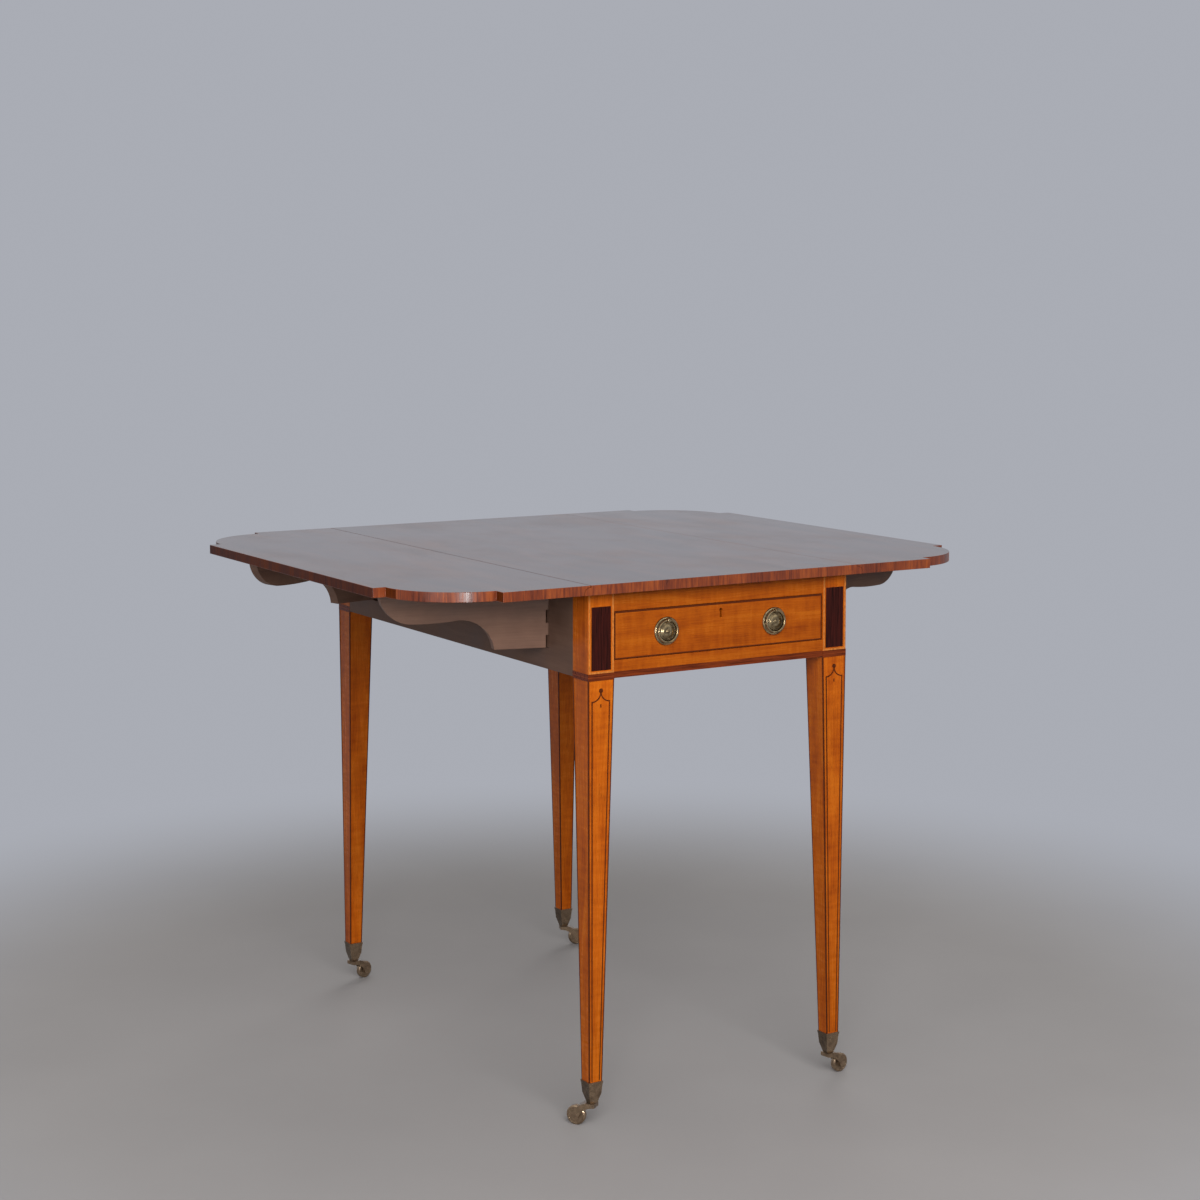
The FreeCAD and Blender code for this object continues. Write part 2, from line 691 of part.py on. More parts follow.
def runners(name, side):
    """Drawer runner and kicker on a side's inner rail."""
    x = mirrored(side, rail_inner_x - S["runner_width"], rail_inner_x)
    reach = half_y - S["end_rail_setback"] - S["end_rail_thick"]
    for label, low in (("runner", lower_rail_top - S["runner_height"]), ("kicker", upper_rail_low)):
        body = block(x, (-reach, reach), (low, low + S["runner_height"]))
        notches = []
        for end in ENDS.values():
            notch_x = mirrored(side, leg_in_x, rail_inner_x)
            notches.append(block(notch_x, mirrored(end, leg_in_y, reach), (low, low + S["runner_height"])))
        node(cut(body, *notches), f"{name}_drawer_{label}")


def tails(side, root, length, levels):
    """Dovetails on an end of a drawer side. A negative length points to the drawer front."""
    made = []
    step = (levels[1] - levels[0]) / TAILS
    narrow = S["tail_root"] / 2
    wide = narrow + S["tail_spread"]
    for i in range(TAILS):
        middle = levels[0] + step * (i + 0.5)
        outline = [
            (root, middle - narrow),
            (root + length, middle - wide),
            (root + length, middle + wide),
            (root, middle + narrow),
        ]
        tail = board("YZ_Plane", outline, S["drawer_side"])
        place(tail, side * (drawer_half - S["drawer_side"] / 2), 0, 0)
        made.append(tail)
    return made


def drawer():
    """Drawer of five boards with its lock: dovetailed sides, and a bottom board that runs in grooves."""
    face = -drawer_face
    inner = -drawer_inner
    rear = drawer_inner - S["drawer_room"]
    back = rear - S["drawer_side"]
    side_low = lower_rail_top + S["slide_gap"]
    side_top = drawer_top - S["side_drop"]
    bottom_low = side_low + S["bottom_raise"]
    bottom_top = bottom_low + S["drawer_bottom"]
    side_in = drawer_half - S["drawer_side"]
    panel = (-side_in - S["groove_depth"], side_in + S["groove_depth"])
    panel_front = inner - S["groove_depth"]
    blank = block((-drawer_half, drawer_half), (face, inner), (drawer_low, drawer_top))
    key_level = drawer_top - S["keyhole_drop"]
    key_slot = (-S["keyhole_slot_width"] / 2, S["keyhole_slot_width"] / 2)
    cuts = [
        block(panel, (panel_front, inner), (bottom_low, bottom_top)),
        lock_case(inner),
        rod(S["keyhole_radius"], as_size(0), face, key_level, S["end_rail_thick"], "y"),
        block(key_slot, (face, inner), (key_level - S["keyhole_slot"], key_level)),
    ]
    back_z = (bottom_top, drawer_top - S["back_drop"])
    cuts += tails(-1, inner, -S["front_lap"], back_z) + tails(1, inner, -S["front_lap"], back_z)
    node(cut(blank, *cuts), "drawer_front")
    for name, side in SIDES.items():
        wall = block(mirrored(side, side_in, drawer_half), (inner, back), (side_low, side_top))
        ends = tails(side, inner, -S["front_lap"], back_z) + tails(side, back, S["drawer_side"], back_z)
        groove_x = mirrored(side, side_in, side_in + S["groove_depth"])
        groove = block(groove_x, (inner, back), (bottom_low, bottom_top))
        node(cut(fuse(wall, *ends), groove), f"drawer_{name}_side")
    board_back = block((-drawer_half, drawer_half), (back, rear), back_z)
    sockets = tails(-1, back, S["drawer_side"], back_z) + tails(1, back, S["drawer_side"], back_z)
    node(cut(board_back, *sockets), "drawer_back")
    node(block(panel, (panel_front, rear), (bottom_low, bottom_top)), "drawer_bottom")
    lock(inner)


def lock_case(inner):
    """Outside of the lock case, let into the back of the drawer front."""
    half = S["lock_width"] / 2
    return block((-half, half), (inner - S["lock_depth"], inner), (drawer_top - S["lock_height"], drawer_top))


def bolt_space(inner, gap, low, high):
    """Room for the lock bolt between two levels, with a clearance all round."""
    half = S["bolt_width"] / 2 + gap
    middle = inner - S["lock_depth"] / 2
    half_thick = S["bolt_thick"] / 2 + gap
    return block((-half, half), (middle - half_thick, middle + half_thick), (low, high))


def lock(inner):
    """Drawer lock and the bolt that rises from it into the rail above."""
    bolt_low = drawer_top - S["bolt_height"]
    key_level = drawer_top - S["keyhole_drop"]
    keyway = rod(S["keyhole_radius"], as_size(0), inner - S["lock_depth"], key_level, S["keyway_depth"], "y")
    node(cut(lock_case(inner), bolt_space(inner, S["bolt_gap"], bolt_low, drawer_top), keyway), "drawer_lock")
    node(bolt_space(inner, as_size(0), bolt_low, drawer_top), "lock_bolt")


def dummy_front():
    """Fixed front at the far end, between the rails and the legs."""
    node(block((-leg_in_x, leg_in_x), (drawer_inner, drawer_face), (lower_rail_top, upper_rail_low)),
         "dummy_drawer_front")


def handle(name, side, end):
    """Ring pull: turned backplate with a boss and an eye at its top, and the ring that hangs in the eye."""
    x = side * S["handle_place"]
    y = end * drawer_face
    profile = [
        (0, 0),
        (S["plate_radius"], 0),
        (S["plate_radius"], S["plate_rim"]),
        (S["plate_radius"] - S["plate_bevel"], S["plate_bead"]),
        (S["ring_radius"] - 2 * S["ring_wire"], S["plate_dish"]),
        (S["boss_radius"], S["plate_dish"]),
        (S["boss_radius"] - S["boss_round"], S["boss_height"] - S["boss_round"]),
        (S["boss_crown"], S["boss_height"]),
        (0, S["boss_height"]),
    ]
    plate = turned(profile)
    plate.Placement.Rotation = FreeCAD.Rotation(FreeCAD.Vector(1, 0, 0), -90 * end)
    place(plate, x, y, handle_level)
    hang = handle_level + S["ring_radius"]
    reach = S["ring_stand"] + S["eye_height"] / 2
    half_eye = S["eye_length"] / 2
    out = mirrored(end, drawer_face, drawer_face + reach)
    post = block((x - half_eye, x + half_eye), out, (hang - S["eye_height"] / 2, hang + S["eye_height"] / 2))
    ring_y = y + end * S["ring_stand"]
    eye = rod(S["ring_wire"] + S["eye_gap"], x - half_eye, ring_y, hang, S["eye_length"], "x")
    node(cut(fuse(plate, post), eye), f"{name}_handle_plate")
    ring = doc.addObject("Part::Torus", "Ring")
    bind(ring, Radius1=S["ring_radius"], Radius2=S["ring_wire"])
    ring.Placement.Rotation = FreeCAD.Rotation(FreeCAD.Vector(1, 0, 0), 90)
    place(ring, x, ring_y, handle_level)
    node(ring, f"{name}_handle_ring")


def socket(name, side, end):
    """Square brass cup round the foot of a leg, with a shoulder, a lip and a floor bored for the swivel pin."""
    x, y = side * caster_x, end * caster_y
    underneath = (centred(x, S["socket_end"]), centred(y, S["socket_end"]))
    shoulder = (centred(x, S["socket_belly"]), centred(y, S["socket_belly"]))
    wall = grown(foot_section(side, end), S["socket_proud"])
    lip_low = S["foot_level"] - S["lip_height"]
    lower_cup = taper(underneath, shoulder, S["socket_low"], S["socket_shoulder"])
    upper_cup = taper(shoulder, wall, S["socket_shoulder"], lip_low)
    lip = taper(grown(wall, S["lip_step"]), grown(wall, S["lip_flare"]), lip_low, S["foot_level"])
    floor = S["socket_low"] + S["socket_web"]
    head_room = rod(S["swivel_head"] + S["swivel_gap"], x, y, floor, S["leg_end"] - floor)
    bore = rod(S["swivel_radius"] + S["fit_gap"], x, y, S["socket_low"], S["socket_web"])
    node(cut(fuse(lower_cup, upper_cup, lip), plug(side, end), head_room, bore), f"{name}_caster_socket")


def turned_to_trail(feature, name, side, end):
    """Stands a caster piece, modelled with its trail along X, under its leg and turns it as photographed."""
    feature.Placement.Rotation = FreeCAD.Rotation(FreeCAD.Vector(0, 0, 1), TRAILS[name])
    place(feature, side * caster_x, end * caster_y, as_size(0))


def horn(name, side, end):
    """Caster horn: swivel pin, crown and two curved cheeks that carry the axle."""
    crown = S["socket_low"] - S["swivel_gap"]
    half = S["horn_half"]
    axle_level = S["wheel_radius"]
    outline = [
        (-half, crown),
        (-half, crown - S["horn_crown"]),
        (S["trail"] - S["cheek_end"], axle_level),
        (S["trail"] + S["cheek_end"], axle_level),
        (half, crown),
    ]
    arcs = {1: (S["cheek_hollow"], 1), 3: (S["cheek_back"], -1)}
    slot_half = S["wheel_width"] / 2 + S["wheel_gap"]
    outside = slot_half + S["cheek"]
    blank = board("XZ_Plane", outline, 2 * outside, arcs)
    round_end = rod(S["cheek_end"], S["trail"], -outside, axle_level, 2 * outside, "y")
    reach = S["trail"] + S["wheel_radius"]
    slot = block((-reach, reach), (-slot_half, slot_half), (as_size(0), crown - S["horn_crown"]))
    cheeks = cut(fuse(blank, round_end), slot)
    axle = rod(S["axle_radius"], S["trail"], -outside, axle_level, 2 * outside, "y")
    floor = S["socket_low"] + S["socket_web"]
    pin = rod(S["swivel_radius"], as_size(0), as_size(0), crown, floor + S["swivel_gap"] - crown)
    head_low = floor + S["swivel_gap"]
    head_top = S["leg_end"] - S["swivel_gap"]
    head = rod(S["swivel_head"], as_size(0), as_size(0), head_low, head_top - head_low)
    solid = fuse(cheeks, axle, pin, head)
    turned_to_trail(solid, name, side, end)
    node(solid, f"{name}_caster_horn")


def wheel(name, side, end):
    """Turned caster wheel with a recessed web, bored for its axle."""
    half = S["wheel_width"] / 2
    bore = S["axle_radius"] + S["fit_gap"]
    hub = S["hub_radius"]
    web = S["web_thick"] / 2
    rim = S["wheel_radius"] - S["rim_depth"]
    rim_face = half - S["rim_setback"]
    tread_edge = rim_face - S["tread_bevel"]
    profile = [
        (bore, -half),
        (hub, -half),
        (hub, -web),
        (rim, -web),
        (rim, -rim_face),
        (S["wheel_radius"], -tread_edge),
        (S["wheel_radius"], tread_edge),
        (rim, rim_face),
        (rim, web),
        (hub, web),
        (hub, half),
        (bore, half),
    ]
    tread = turned(profile)
    tread.Placement.Rotation = FreeCAD.Rotation(FreeCAD.Vector(1, 0, 0), 90)
    place(tread, S["trail"], as_size(0), S["wheel_radius"])
    solid = group(tread)
    turned_to_trail(solid, name, side, end)
    node(solid, f"{name}_caster_wheel")


def build():
    """Makes every sub-part."""
    centre_board()
    mortise_top = upper_rail_low + S["bolt_throw"] + S["bolt_gap"]
    bolt_mortise = bolt_space(-drawer_inner, S["bolt_gap"], upper_rail_low, mortise_top)
    end_rail("front_upper_rail", -1, upper_rail_low, underside, bolt_mortise)
    end_rail("front_lower_rail", -1, frieze_low, lower_rail_top)
    end_rail("back_upper_rail", 1, upper_rail_low, underside)
    end_rail("back_lower_rail", 1, frieze_low, lower_rail_top)
    dummy_front()
    drawer()
    for name, side in SIDES.items():
        leaf(name, side)
        hinges(name, side)
        side_rails(name, side)
        fly_rail(name, side)
        bracket_pins(name, side)
        runners(name, side)
        for end_name, end in ENDS.items():
            corner = f"{end_name}_{name}"
            leg(corner, side, end)
            bracket(corner, side, end)
            socket(corner, side, end)
            horn(corner, side, end)
            wheel(corner, side, end)
            handle(corner, side, end)


def export():
    """Checks every feature and writes one STEP file for each sub-part."""
    doc.recompute()
    for feature in doc.Objects:
        if "Invalid" in feature.State or "Error" in feature.State:
            raise RuntimeError(f"{feature.Label} ({feature.Name}) did not build")
    for feature in nodes:
        shape = feature.Shape
        if shape.isNull() or not shape.isValid() or not shape.Solids:
            raise RuntimeError(f"{feature.Label} is not a valid solid")
        shape.exportStep(f"parts/{feature.Label}.step")
    print(len(nodes), "sub-parts")


build()
export()
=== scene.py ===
"""Dresses a satinwood pembroke table: veneers, inlay, ring pulls, casters and a plain studio.

Metres, in the table's own frame: +Z is up, the drawer is at -Y, the leaves are at -X and +X.
"""

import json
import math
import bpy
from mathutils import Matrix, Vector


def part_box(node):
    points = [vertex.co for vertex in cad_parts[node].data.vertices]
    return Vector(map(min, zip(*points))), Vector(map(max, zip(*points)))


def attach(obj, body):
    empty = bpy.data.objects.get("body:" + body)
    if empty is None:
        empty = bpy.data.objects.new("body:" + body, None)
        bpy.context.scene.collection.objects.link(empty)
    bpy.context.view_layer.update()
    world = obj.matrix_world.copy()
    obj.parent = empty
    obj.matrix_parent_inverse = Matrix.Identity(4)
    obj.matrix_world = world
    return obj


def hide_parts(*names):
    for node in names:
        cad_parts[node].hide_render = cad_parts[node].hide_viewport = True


bl_info = {
    "name": "Pembroke table",
    "version": (1, 0, 0),
    "blender": (4, 5, 0),
    "location": "View3D > Sidebar > Pembroke",
    "description": "Veneers, inlay, ring pulls, casters and studio for a drop-leaf table",
    "category": "Object",
}

import bmesh
import bpy
from mathutils import Matrix, Vector

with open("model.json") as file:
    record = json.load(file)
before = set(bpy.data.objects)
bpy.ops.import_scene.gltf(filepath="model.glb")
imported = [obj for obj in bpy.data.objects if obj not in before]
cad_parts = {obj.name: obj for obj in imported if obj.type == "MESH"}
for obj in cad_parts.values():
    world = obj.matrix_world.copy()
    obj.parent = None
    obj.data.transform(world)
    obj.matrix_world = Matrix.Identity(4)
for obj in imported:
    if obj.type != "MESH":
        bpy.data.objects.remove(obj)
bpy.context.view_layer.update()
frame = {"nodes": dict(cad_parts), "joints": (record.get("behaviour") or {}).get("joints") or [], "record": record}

# Names of the frame's like pieces.
SIDES = {"left": -1, "right": 1}
ENDS = {"front": -1, "back": 1}
CORNERS = {f"{end}_{side}": (SIDES[side], ENDS[end]) for end in ENDS for side in SIDES}

# Levels and faces read from the frame.
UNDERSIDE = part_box("front_left_leg")[1].z
FRIEZE_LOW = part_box("front_lower_rail")[0].z
BRASS_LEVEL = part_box("front_left_caster_socket")[1].z
RAIL_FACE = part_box("back_lower_rail")[1].y
LEG_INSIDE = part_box("front_right_leg")[0].x
DRAWER_LOW, DRAWER_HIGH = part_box("drawer_front")

# Tolerances of the mesh work. SEAM is the hairline left between strips that would share an edge.
WELD = 2e-6
SEAM = 2e-5
LEVEL_REACH = 10 * WELD
FLAT_ANGLE = math.radians(0.5)
SHARP_ANGLE = math.radians(32)
MITRE_LIMIT = 0.5

# How squarely a face has to look up or down, or sideways, for a finish of its own.
FLATNESS = 0.8
LONG_EDGE = 0.97
SIDEWAYS = 0.8

# Steps round curved and turned forms.
ARCH_STEPS = 9
DISC_STEPS = 12
PLATE_STEPS = 48
EYE_STEPS = 24
RING_STEPS = 64
WIRE_STEPS = 16
NUT_SIDES = 6
STUD_STEPS = 16
FLOOR_SIDES = 96

# Inlay: the flat ends of a disc, the dot's lift off the arch, and how much prouder the collars are.
DISC_TIP = 0.02
DOT_LIFT = 0.4
COLLAR_LIFT = 2

# Mouldings of a backplate and a socket's screw head: shares of the radius, and heights in metres.
PLATE_PROFILE = (
    (0.0, 0.0), (1.0, 0.0), (1.0, 0.0009), (0.95, 0.0019), (0.885, 0.0026), (0.83, 0.0021),
    (0.76, 0.0014), (0.635, 0.0013), (0.61, 0.0020), (0.57, 0.0024), (0.53, 0.0022), (0.515, 0.0024),
    (0.475, 0.0030), (0.43, 0.0030), (0.415, 0.0032), (0.33, 0.0039), (0.25, 0.0043), (0.235, 0.0041),
    (0.17, 0.0044), (0.125, 0.0046), (0.11, 0.0051), (0.06, 0.0056), (0.0, 0.0058),
)
STUD_PROFILE = ((0, 0), (1, 0), (1, 0.0006), (0.6, 0.0011), (0, 0.0013))
STUD_LEVEL = 0.66
STUD_INSET = 0.0028

# A handle's nut, in shares of its radius and height.
NUT_PROFILE = ((0, 0), (1, 0), (1, 0.8), (0.85, 1), (0, 1))

# Hinge screws: shares of a flap's reach and length, and each half head in shares of its radius.
HINGE_LENGTH = 0.050
SCREW_PLACES = ((0.72, -0.34), (0.42, 0), (0.72, 0.34))
HALF_OFFSET, HALF_WIDTH, HALF_LENGTH = 0.54, 0.86, 1.4

# The photograph's viewpoint.
CAMERA_PLACE = (-1.6924, -2.8705, 1.1039)
CAMERA_YAW = -30.877
CAMERA_PITCH = -4.945
CAMERA_LENS = 68.58
CAMERA_SHIFT = (0.0086, -0.100)
SENSOR_WIDTH = 36

# Studio: reach of the floor, heights of the surround's tones, and each lamp's place and width.
FADE_START = 0.75
FADE_END = 1.7
FLOOR_RADIUS = 40.0
SURROUND_STOPS = (0.10, 0.75)
AIM_LEVEL = UNDERSIDE * 0.7
KEY_LAMP = ((-1.1, -3.0, 2.25), 2.4)
BACK_LAMP = ((2.0, 2.6, 2.8), 1.7)
FILL_LAMP = ((-3.0, -2.0, 1.1), 1.4)
GLINT_LAMP = ((-1.2, -3.0, 0.5), 0.32)


def colour(label, words, value):
    """A colour that a user may change."""
    return bpy.props.FloatVectorProperty(
        name=label, description=words, default=value, subtype="COLOR", size=3, min=0, max=1)


def length(label, words, value):
    """A length that a user may change, in metres."""
    return bpy.props.FloatProperty(
        name=label, description=words, default=value, subtype="DISTANCE", unit="LENGTH",
        min=0, precision=5)


def share(label, words, value):
    """A share that a user may change."""
    return bpy.props.FloatProperty(
        name=label, description=words, default=value, subtype="FACTOR", min=0, max=1)


def power(label, words, value):
    """A lamp's power that a user may change, in watts."""
    return bpy.props.FloatProperty(name=label, description=words, default=value, unit="POWER")


class PembrokeColours(bpy.types.PropertyGroup):
    """Colours of the woods, the brass and the studio."""

    satin_light: colour("Satinwood light", "Light figure of the satinwood", (0.70, 0.170, 0.009))
    satin_mid: colour("Satinwood", "Body colour of the satinwood", (0.57, 0.117, 0.005))
    satin_dark: colour("Satinwood dark", "Dark figure of the satinwood", (0.36, 0.058, 0.002))
    rail_depth: share("Rails", "Tone of the rails and drawer beside the legs", 0.75)
    rose_light: colour("Rosewood light", "Light streaks of the dark panels", (0.052, 0.007, 0.004))
    rose_dark: colour("Rosewood dark", "Dark streaks of the dark panels", (0.012, 0.002, 0.001))
    band_light: colour("Banding light", "Light streaks of the crossbanded edge", (0.345, 0.075, 0.011))
    band_mid: colour("Banding", "Body colour of the crossbanded edge", (0.190, 0.032, 0.0045))
    band_dark: colour("Banding dark", "Dark streaks of the crossbanded edge", (0.070, 0.010, 0.002))
    # Painted shade: the leaves' long edges, which face sideways, are darkened against the end edges.
    long_depth: share("Long edges", "Tone of the leaves' long edges beside the end edges", 0.42)
    top_light: colour("Top light", "Light figure of the top", (0.175, 0.078, 0.045))
    top_mid: colour("Top", "Body colour of the top", (0.105, 0.045, 0.027))
    top_dark: colour("Top dark", "Dark figure of the top", (0.055, 0.022, 0.013))
    plain_light: colour("Plain wood light", "Light grain of the brackets", (0.32, 0.185, 0.128))
    plain_mid: colour("Plain wood", "Body colour of the brackets", (0.23, 0.124, 0.083))
    plain_dark: colour("Plain wood dark", "Dark grain of the brackets", (0.13, 0.063, 0.040))
    # Painted shade: the side rails, runners, kickers and the top's underside are darkened against the brackets.
    side_depth: share("Side rails", "Tone of the side rails beside the brackets", 0.62)
    # Partly painted highlight: the pale lines at the legs' corners stand for stringing and for the light on the
    # arrises.
    string_light: colour("Light stringing", "Pale lines round the dark panels", (0.66, 0.215, 0.040))
    string_dark: colour("Dark stringing", "Dark lines of the inlay", (0.115, 0.021, 0.003))
    string_red: colour("Collar line", "Line in the middle of the collars", (0.27, 0.050, 0.010))
    king_light: colour("Kingwood light", "Light streaks of the collars and bands", (0.22, 0.038, 0.007))
    king_dark: colour("Kingwood dark", "Dark streaks of the collars and bands", (0.065, 0.010, 0.003))
    brass_bright: colour("Brass", "Rubbed brass", (0.50, 0.38, 0.211))
    brass_dull: colour("Brass tarnished", "Tarnish on the brass", (0.14, 0.098, 0.052))
    cast_bright: colour("Caster brass", "Rubbed brass of the casters", (0.36, 0.255, 0.165))
    cast_dull: colour("Caster brass tarnished", "Tarnish on the casters", (0.185, 0.126, 0.082))
    # Painted shade: the sockets' long sides are darkened against their ends, for the dim surroundings they face.
    cast_depth: share("Caster sides", "Tone of the sockets' long sides against their ends", 0.5)
    iron: colour("Iron", "Hinges and pins", (0.085, 0.078, 0.072))
    floor: colour("Floor", "Plain pale floor", (0.34, 0.322, 0.317))
    backdrop: colour("Backdrop", "Pale surround at eye level", (0.40, 0.415, 0.46))
    ceiling: colour("Ceiling light", "Soft light from above", (0.98, 0.98, 0.97))
    bounce: share("Bounce", "Share of the surround's brightness that falls on the table", 0.38)


class PembrokeInlay(bpy.types.PropertyGroup):
    """Sizes of the inlay on the frame and the drawer."""

    proud: length("Proud", "Height of the inlay above its face", 0.00012)
    depth: length("Depth", "Depth of the inlay in the wood", 0.0004)
    string_width: length("Stringing", "Width of the dark lines", 0.0016)
    edge_width: length("Edge stringing", "Width of the dark lines at the legs' corners", 0.0015)
    leg_inset_top: length("Leg inset", "Corner of the leg to its line, at the top", 0.0058)
    leg_inset_foot: length("Foot inset", "Corner of the leg to its line, at the foot", 0.0042)
    arch_drop: length("Arch", "Collar to the point of the arch", 0.0144)
    shoulder_drop: length("Shoulder", "Collar to the shoulders of the arch", 0.0274)
    dot_radius: length("Dot", "Radius of the dot on the arch", 0.0030)
    mark_drop: length("Mark", "Point of the arch to the small mark under it", 0.0164)
    mark_length: length("Mark length", "Length of the small mark", 0.0042)
    collar_low: length("Collar level", "Lower edge of the collar", FRIEZE_LOW - 0.0015)
    collar_height: length("Collar", "Height of the collar", 0.0092)
    collar_line: length("Collar line", "Lighter line in the middle of the collar", 0.0012)
    rail_band: length("Rail band", "Dark band on the lower edge of the end rails", 0.0082)
    panel_low: length("Panel level", "Lower edge of the dark panel", 0.6061)
    panel_high: length("Panel top", "Upper edge of the dark panel", 0.6888)
    panel_half: length("Panel half", "Half width of the dark panel", 0.0146)
    # The pale lines beside the panel sit at the leg's corners and are partly painted highlight of the arrises.
    panel_string: length("Panel line", "Width of the pale lines beside and under the panel", 0.0023)
    panel_edge: length("Panel edge", "Corner of the leg to the pale lines", 0.0007)
    # Painted shadow: the drawer's lines are widened to stand for the shadow in the gaps round the drawer, most at
    # the top.
    drawer_line: length("Drawer line", "Dark line at the sides and foot of the drawer front", 0.0018)
    drawer_top_line: length("Drawer top line", "Dark line at the top of the drawer front", 0.0026)


class PembrokeBrass(bpy.types.PropertyGroup):
    """Sizes of the fittings' finer forms."""

    eye_wall: length("Eye wall", "Wall of the barrel that holds a ring", 0.0013)
    eye_bore: length("Eye bore", "Bore of the barrel that holds a ring", 0.00195)
    eye_length: length("Eye length", "Length of the barrel that holds a ring", 0.0042)
    wire: length("Ring wire", "Radius of a ring's wire", 0.0016)
    nut_radius: length("Nut", "Radius of a handle's nut inside the drawer", 0.0042)
    nut_height: length("Nut height", "Height of a handle's nut", 0.0030)
    screw_radius: length("Screw", "Radius of a hinge screw's head", 0.0034)
    screw_height: length("Screw height", "Head of a hinge screw below its plate", 0.0004)
    stud_radius: length("Stud", "Radius of a socket's screw head", 0.0017)


def chosen(group):
    """The user's choices in one of the groups of settings."""
    return getattr(bpy.context.scene, f"pembroke_{group}")


def shaded(tone, depth):
    """A colour made darker by a share."""
    return [part * depth for part in tone]


def finish_of(kind, *choice):
    """A finish by its function and choices, made once."""
    name = "_".join([kind.__name__, *map(str, choice)])
    return bpy.data.materials.get(name) or kind(name, *choice)


class Nodes:
    """A tree of shader nodes under construction, for a material or a world."""

    def __init__(self, owner):
        owner.use_nodes = True
        self.tree = owner.node_tree
        self.tree.nodes.clear()
        self.place = self.node("ShaderNodeTexCoord").outputs

    def node(self, kind, values=None, **settings):
        """Adds a node, sets its own settings and feeds its inputs."""
        made = self.tree.nodes.new(kind)
        for key, value in settings.items():
            setattr(made, key, value)
        self.feed(made, values or {})
        return made

    def feed(self, node, values):
        """Links outputs to a node's inputs, or sets plain values on them."""
        for key, value in values.items():
            if isinstance(value, bpy.types.NodeSocket):
                self.tree.links.new(value, node.inputs[key])
            else:
                node.inputs[key].default_value = value

    def sum(self, operation, first, second):
        """One step of arithmetic on values."""
        made = self.node("ShaderNodeMath", {0: first, 1: second}, operation=operation)
        return made.outputs["Value"]

    def weighed(self, *parts):
        """Values added up by their weights."""
        total = self.sum("MULTIPLY", *parts[0])
        for value, weight in parts[1:]:
            total = self.sum("ADD", total, self.sum("MULTIPLY", value, weight))
        return total

    def ramp(self, value, *stops):
        """Colours, or greys given as numbers, along a value."""
        made = self.node("ShaderNodeValToRGB", {"Fac": value})
        elements = made.color_ramp.elements
        while len(elements) < len(stops):
            elements.new(1)
        for element, (position, tint) in zip(elements, stops):
            element.position = position
            element.color = (*tint, 1) if hasattr(tint, "__len__") else (tint, tint, tint, 1)
        return made.outputs["Color"]

    def seen_share(self, bounce):
        """Full strength to the eye and in reflections, and a share of it to matt surfaces."""
        path = self.node("ShaderNodeLightPath").outputs
        total = path["Is Camera Ray"]
        for ray in ("Is Glossy Ray", "Is Transmission Ray"):
            total = self.sum("MAXIMUM", total, path[ray])
        share = self.node("ShaderNodeMapRange", {"Value": total, "To Min": bounce})
        return share.outputs["Result"]


class Finish(Nodes):
    """A material under construction, which ends in one surface shader."""

    def __init__(self, name):
        self.material = bpy.data.materials.new(name)
        super().__init__(self.material)
        self.surface = self.node("ShaderNodeBsdfPrincipled")
        shader = self.surface.outputs["BSDF"]
        self.output = self.node("ShaderNodeOutputMaterial", {"Surface": shader})

    def cells(self, size, turn=(0, 0, 0)):
        """Object coordinates measured in cells of a real size, on turned axes."""
        values = {"Vector": self.place["Object"], "Rotation": turn, "Scale": size}
        return self.node("ShaderNodeMapping", values, vector_type="TEXTURE").outputs["Vector"]

    def grain(self, across, along, axis, turn=0):
        """Cells that are long in the direction of the grain. The turn is about Z."""
        size = [across, across, across]
        size[axis] = along
        return self.cells(size, (0, 0, turn))

    def noise(self, vector, detail, roughness=0.5, distortion=0.0):
        """Noise on given coordinates, about 0 to 1."""
        made = self.node("ShaderNodeTexNoise", {
            "Vector": vector, "Scale": 1, "Detail": detail, "Roughness": roughness,
            "Distortion": distortion})
        return made.outputs["Fac"]

    def wood(self, value, spread, woods, depth=1.0):
        """Dark, middle and light wood along a value, spread about its middle."""
        places = (0.5 - spread, 0.5, 0.5 + spread)
        return self.ramp(value, *zip(places, [shaded(tone, depth) for tone in woods]))

    def darken(self, share, first, second):
        """A colour multiplied by another, in part."""
        made = self.node("ShaderNodeMix", {"Factor": share, "A": first, "B": second},
                         data_type="RGBA", blend_type="MULTIPLY")
        return made.outputs["Result"]

    def bump(self, height, distance, strength):
        """Raises the surface by a height value."""
        made = self.node("ShaderNodeBump", {
            "Height": height, "Distance": distance, "Strength": strength})
        self.feed(self.surface, {"Normal": made.outputs["Normal"]})

    def polish(self, weight, roughness):
        """Lays a clear coat over the surface."""
        self.feed(self.surface, {"Coat Weight": weight, "Coat Roughness": roughness})

    def done(self, tint, roughness, metallic=0.0, specular=0.5):
        """Sets the surface and returns the material."""
        self.feed(self.surface, {"Base Color": tint, "Roughness": roughness, "Metallic": metallic,
                                 "Specular IOR Level": specular})
        return self.material


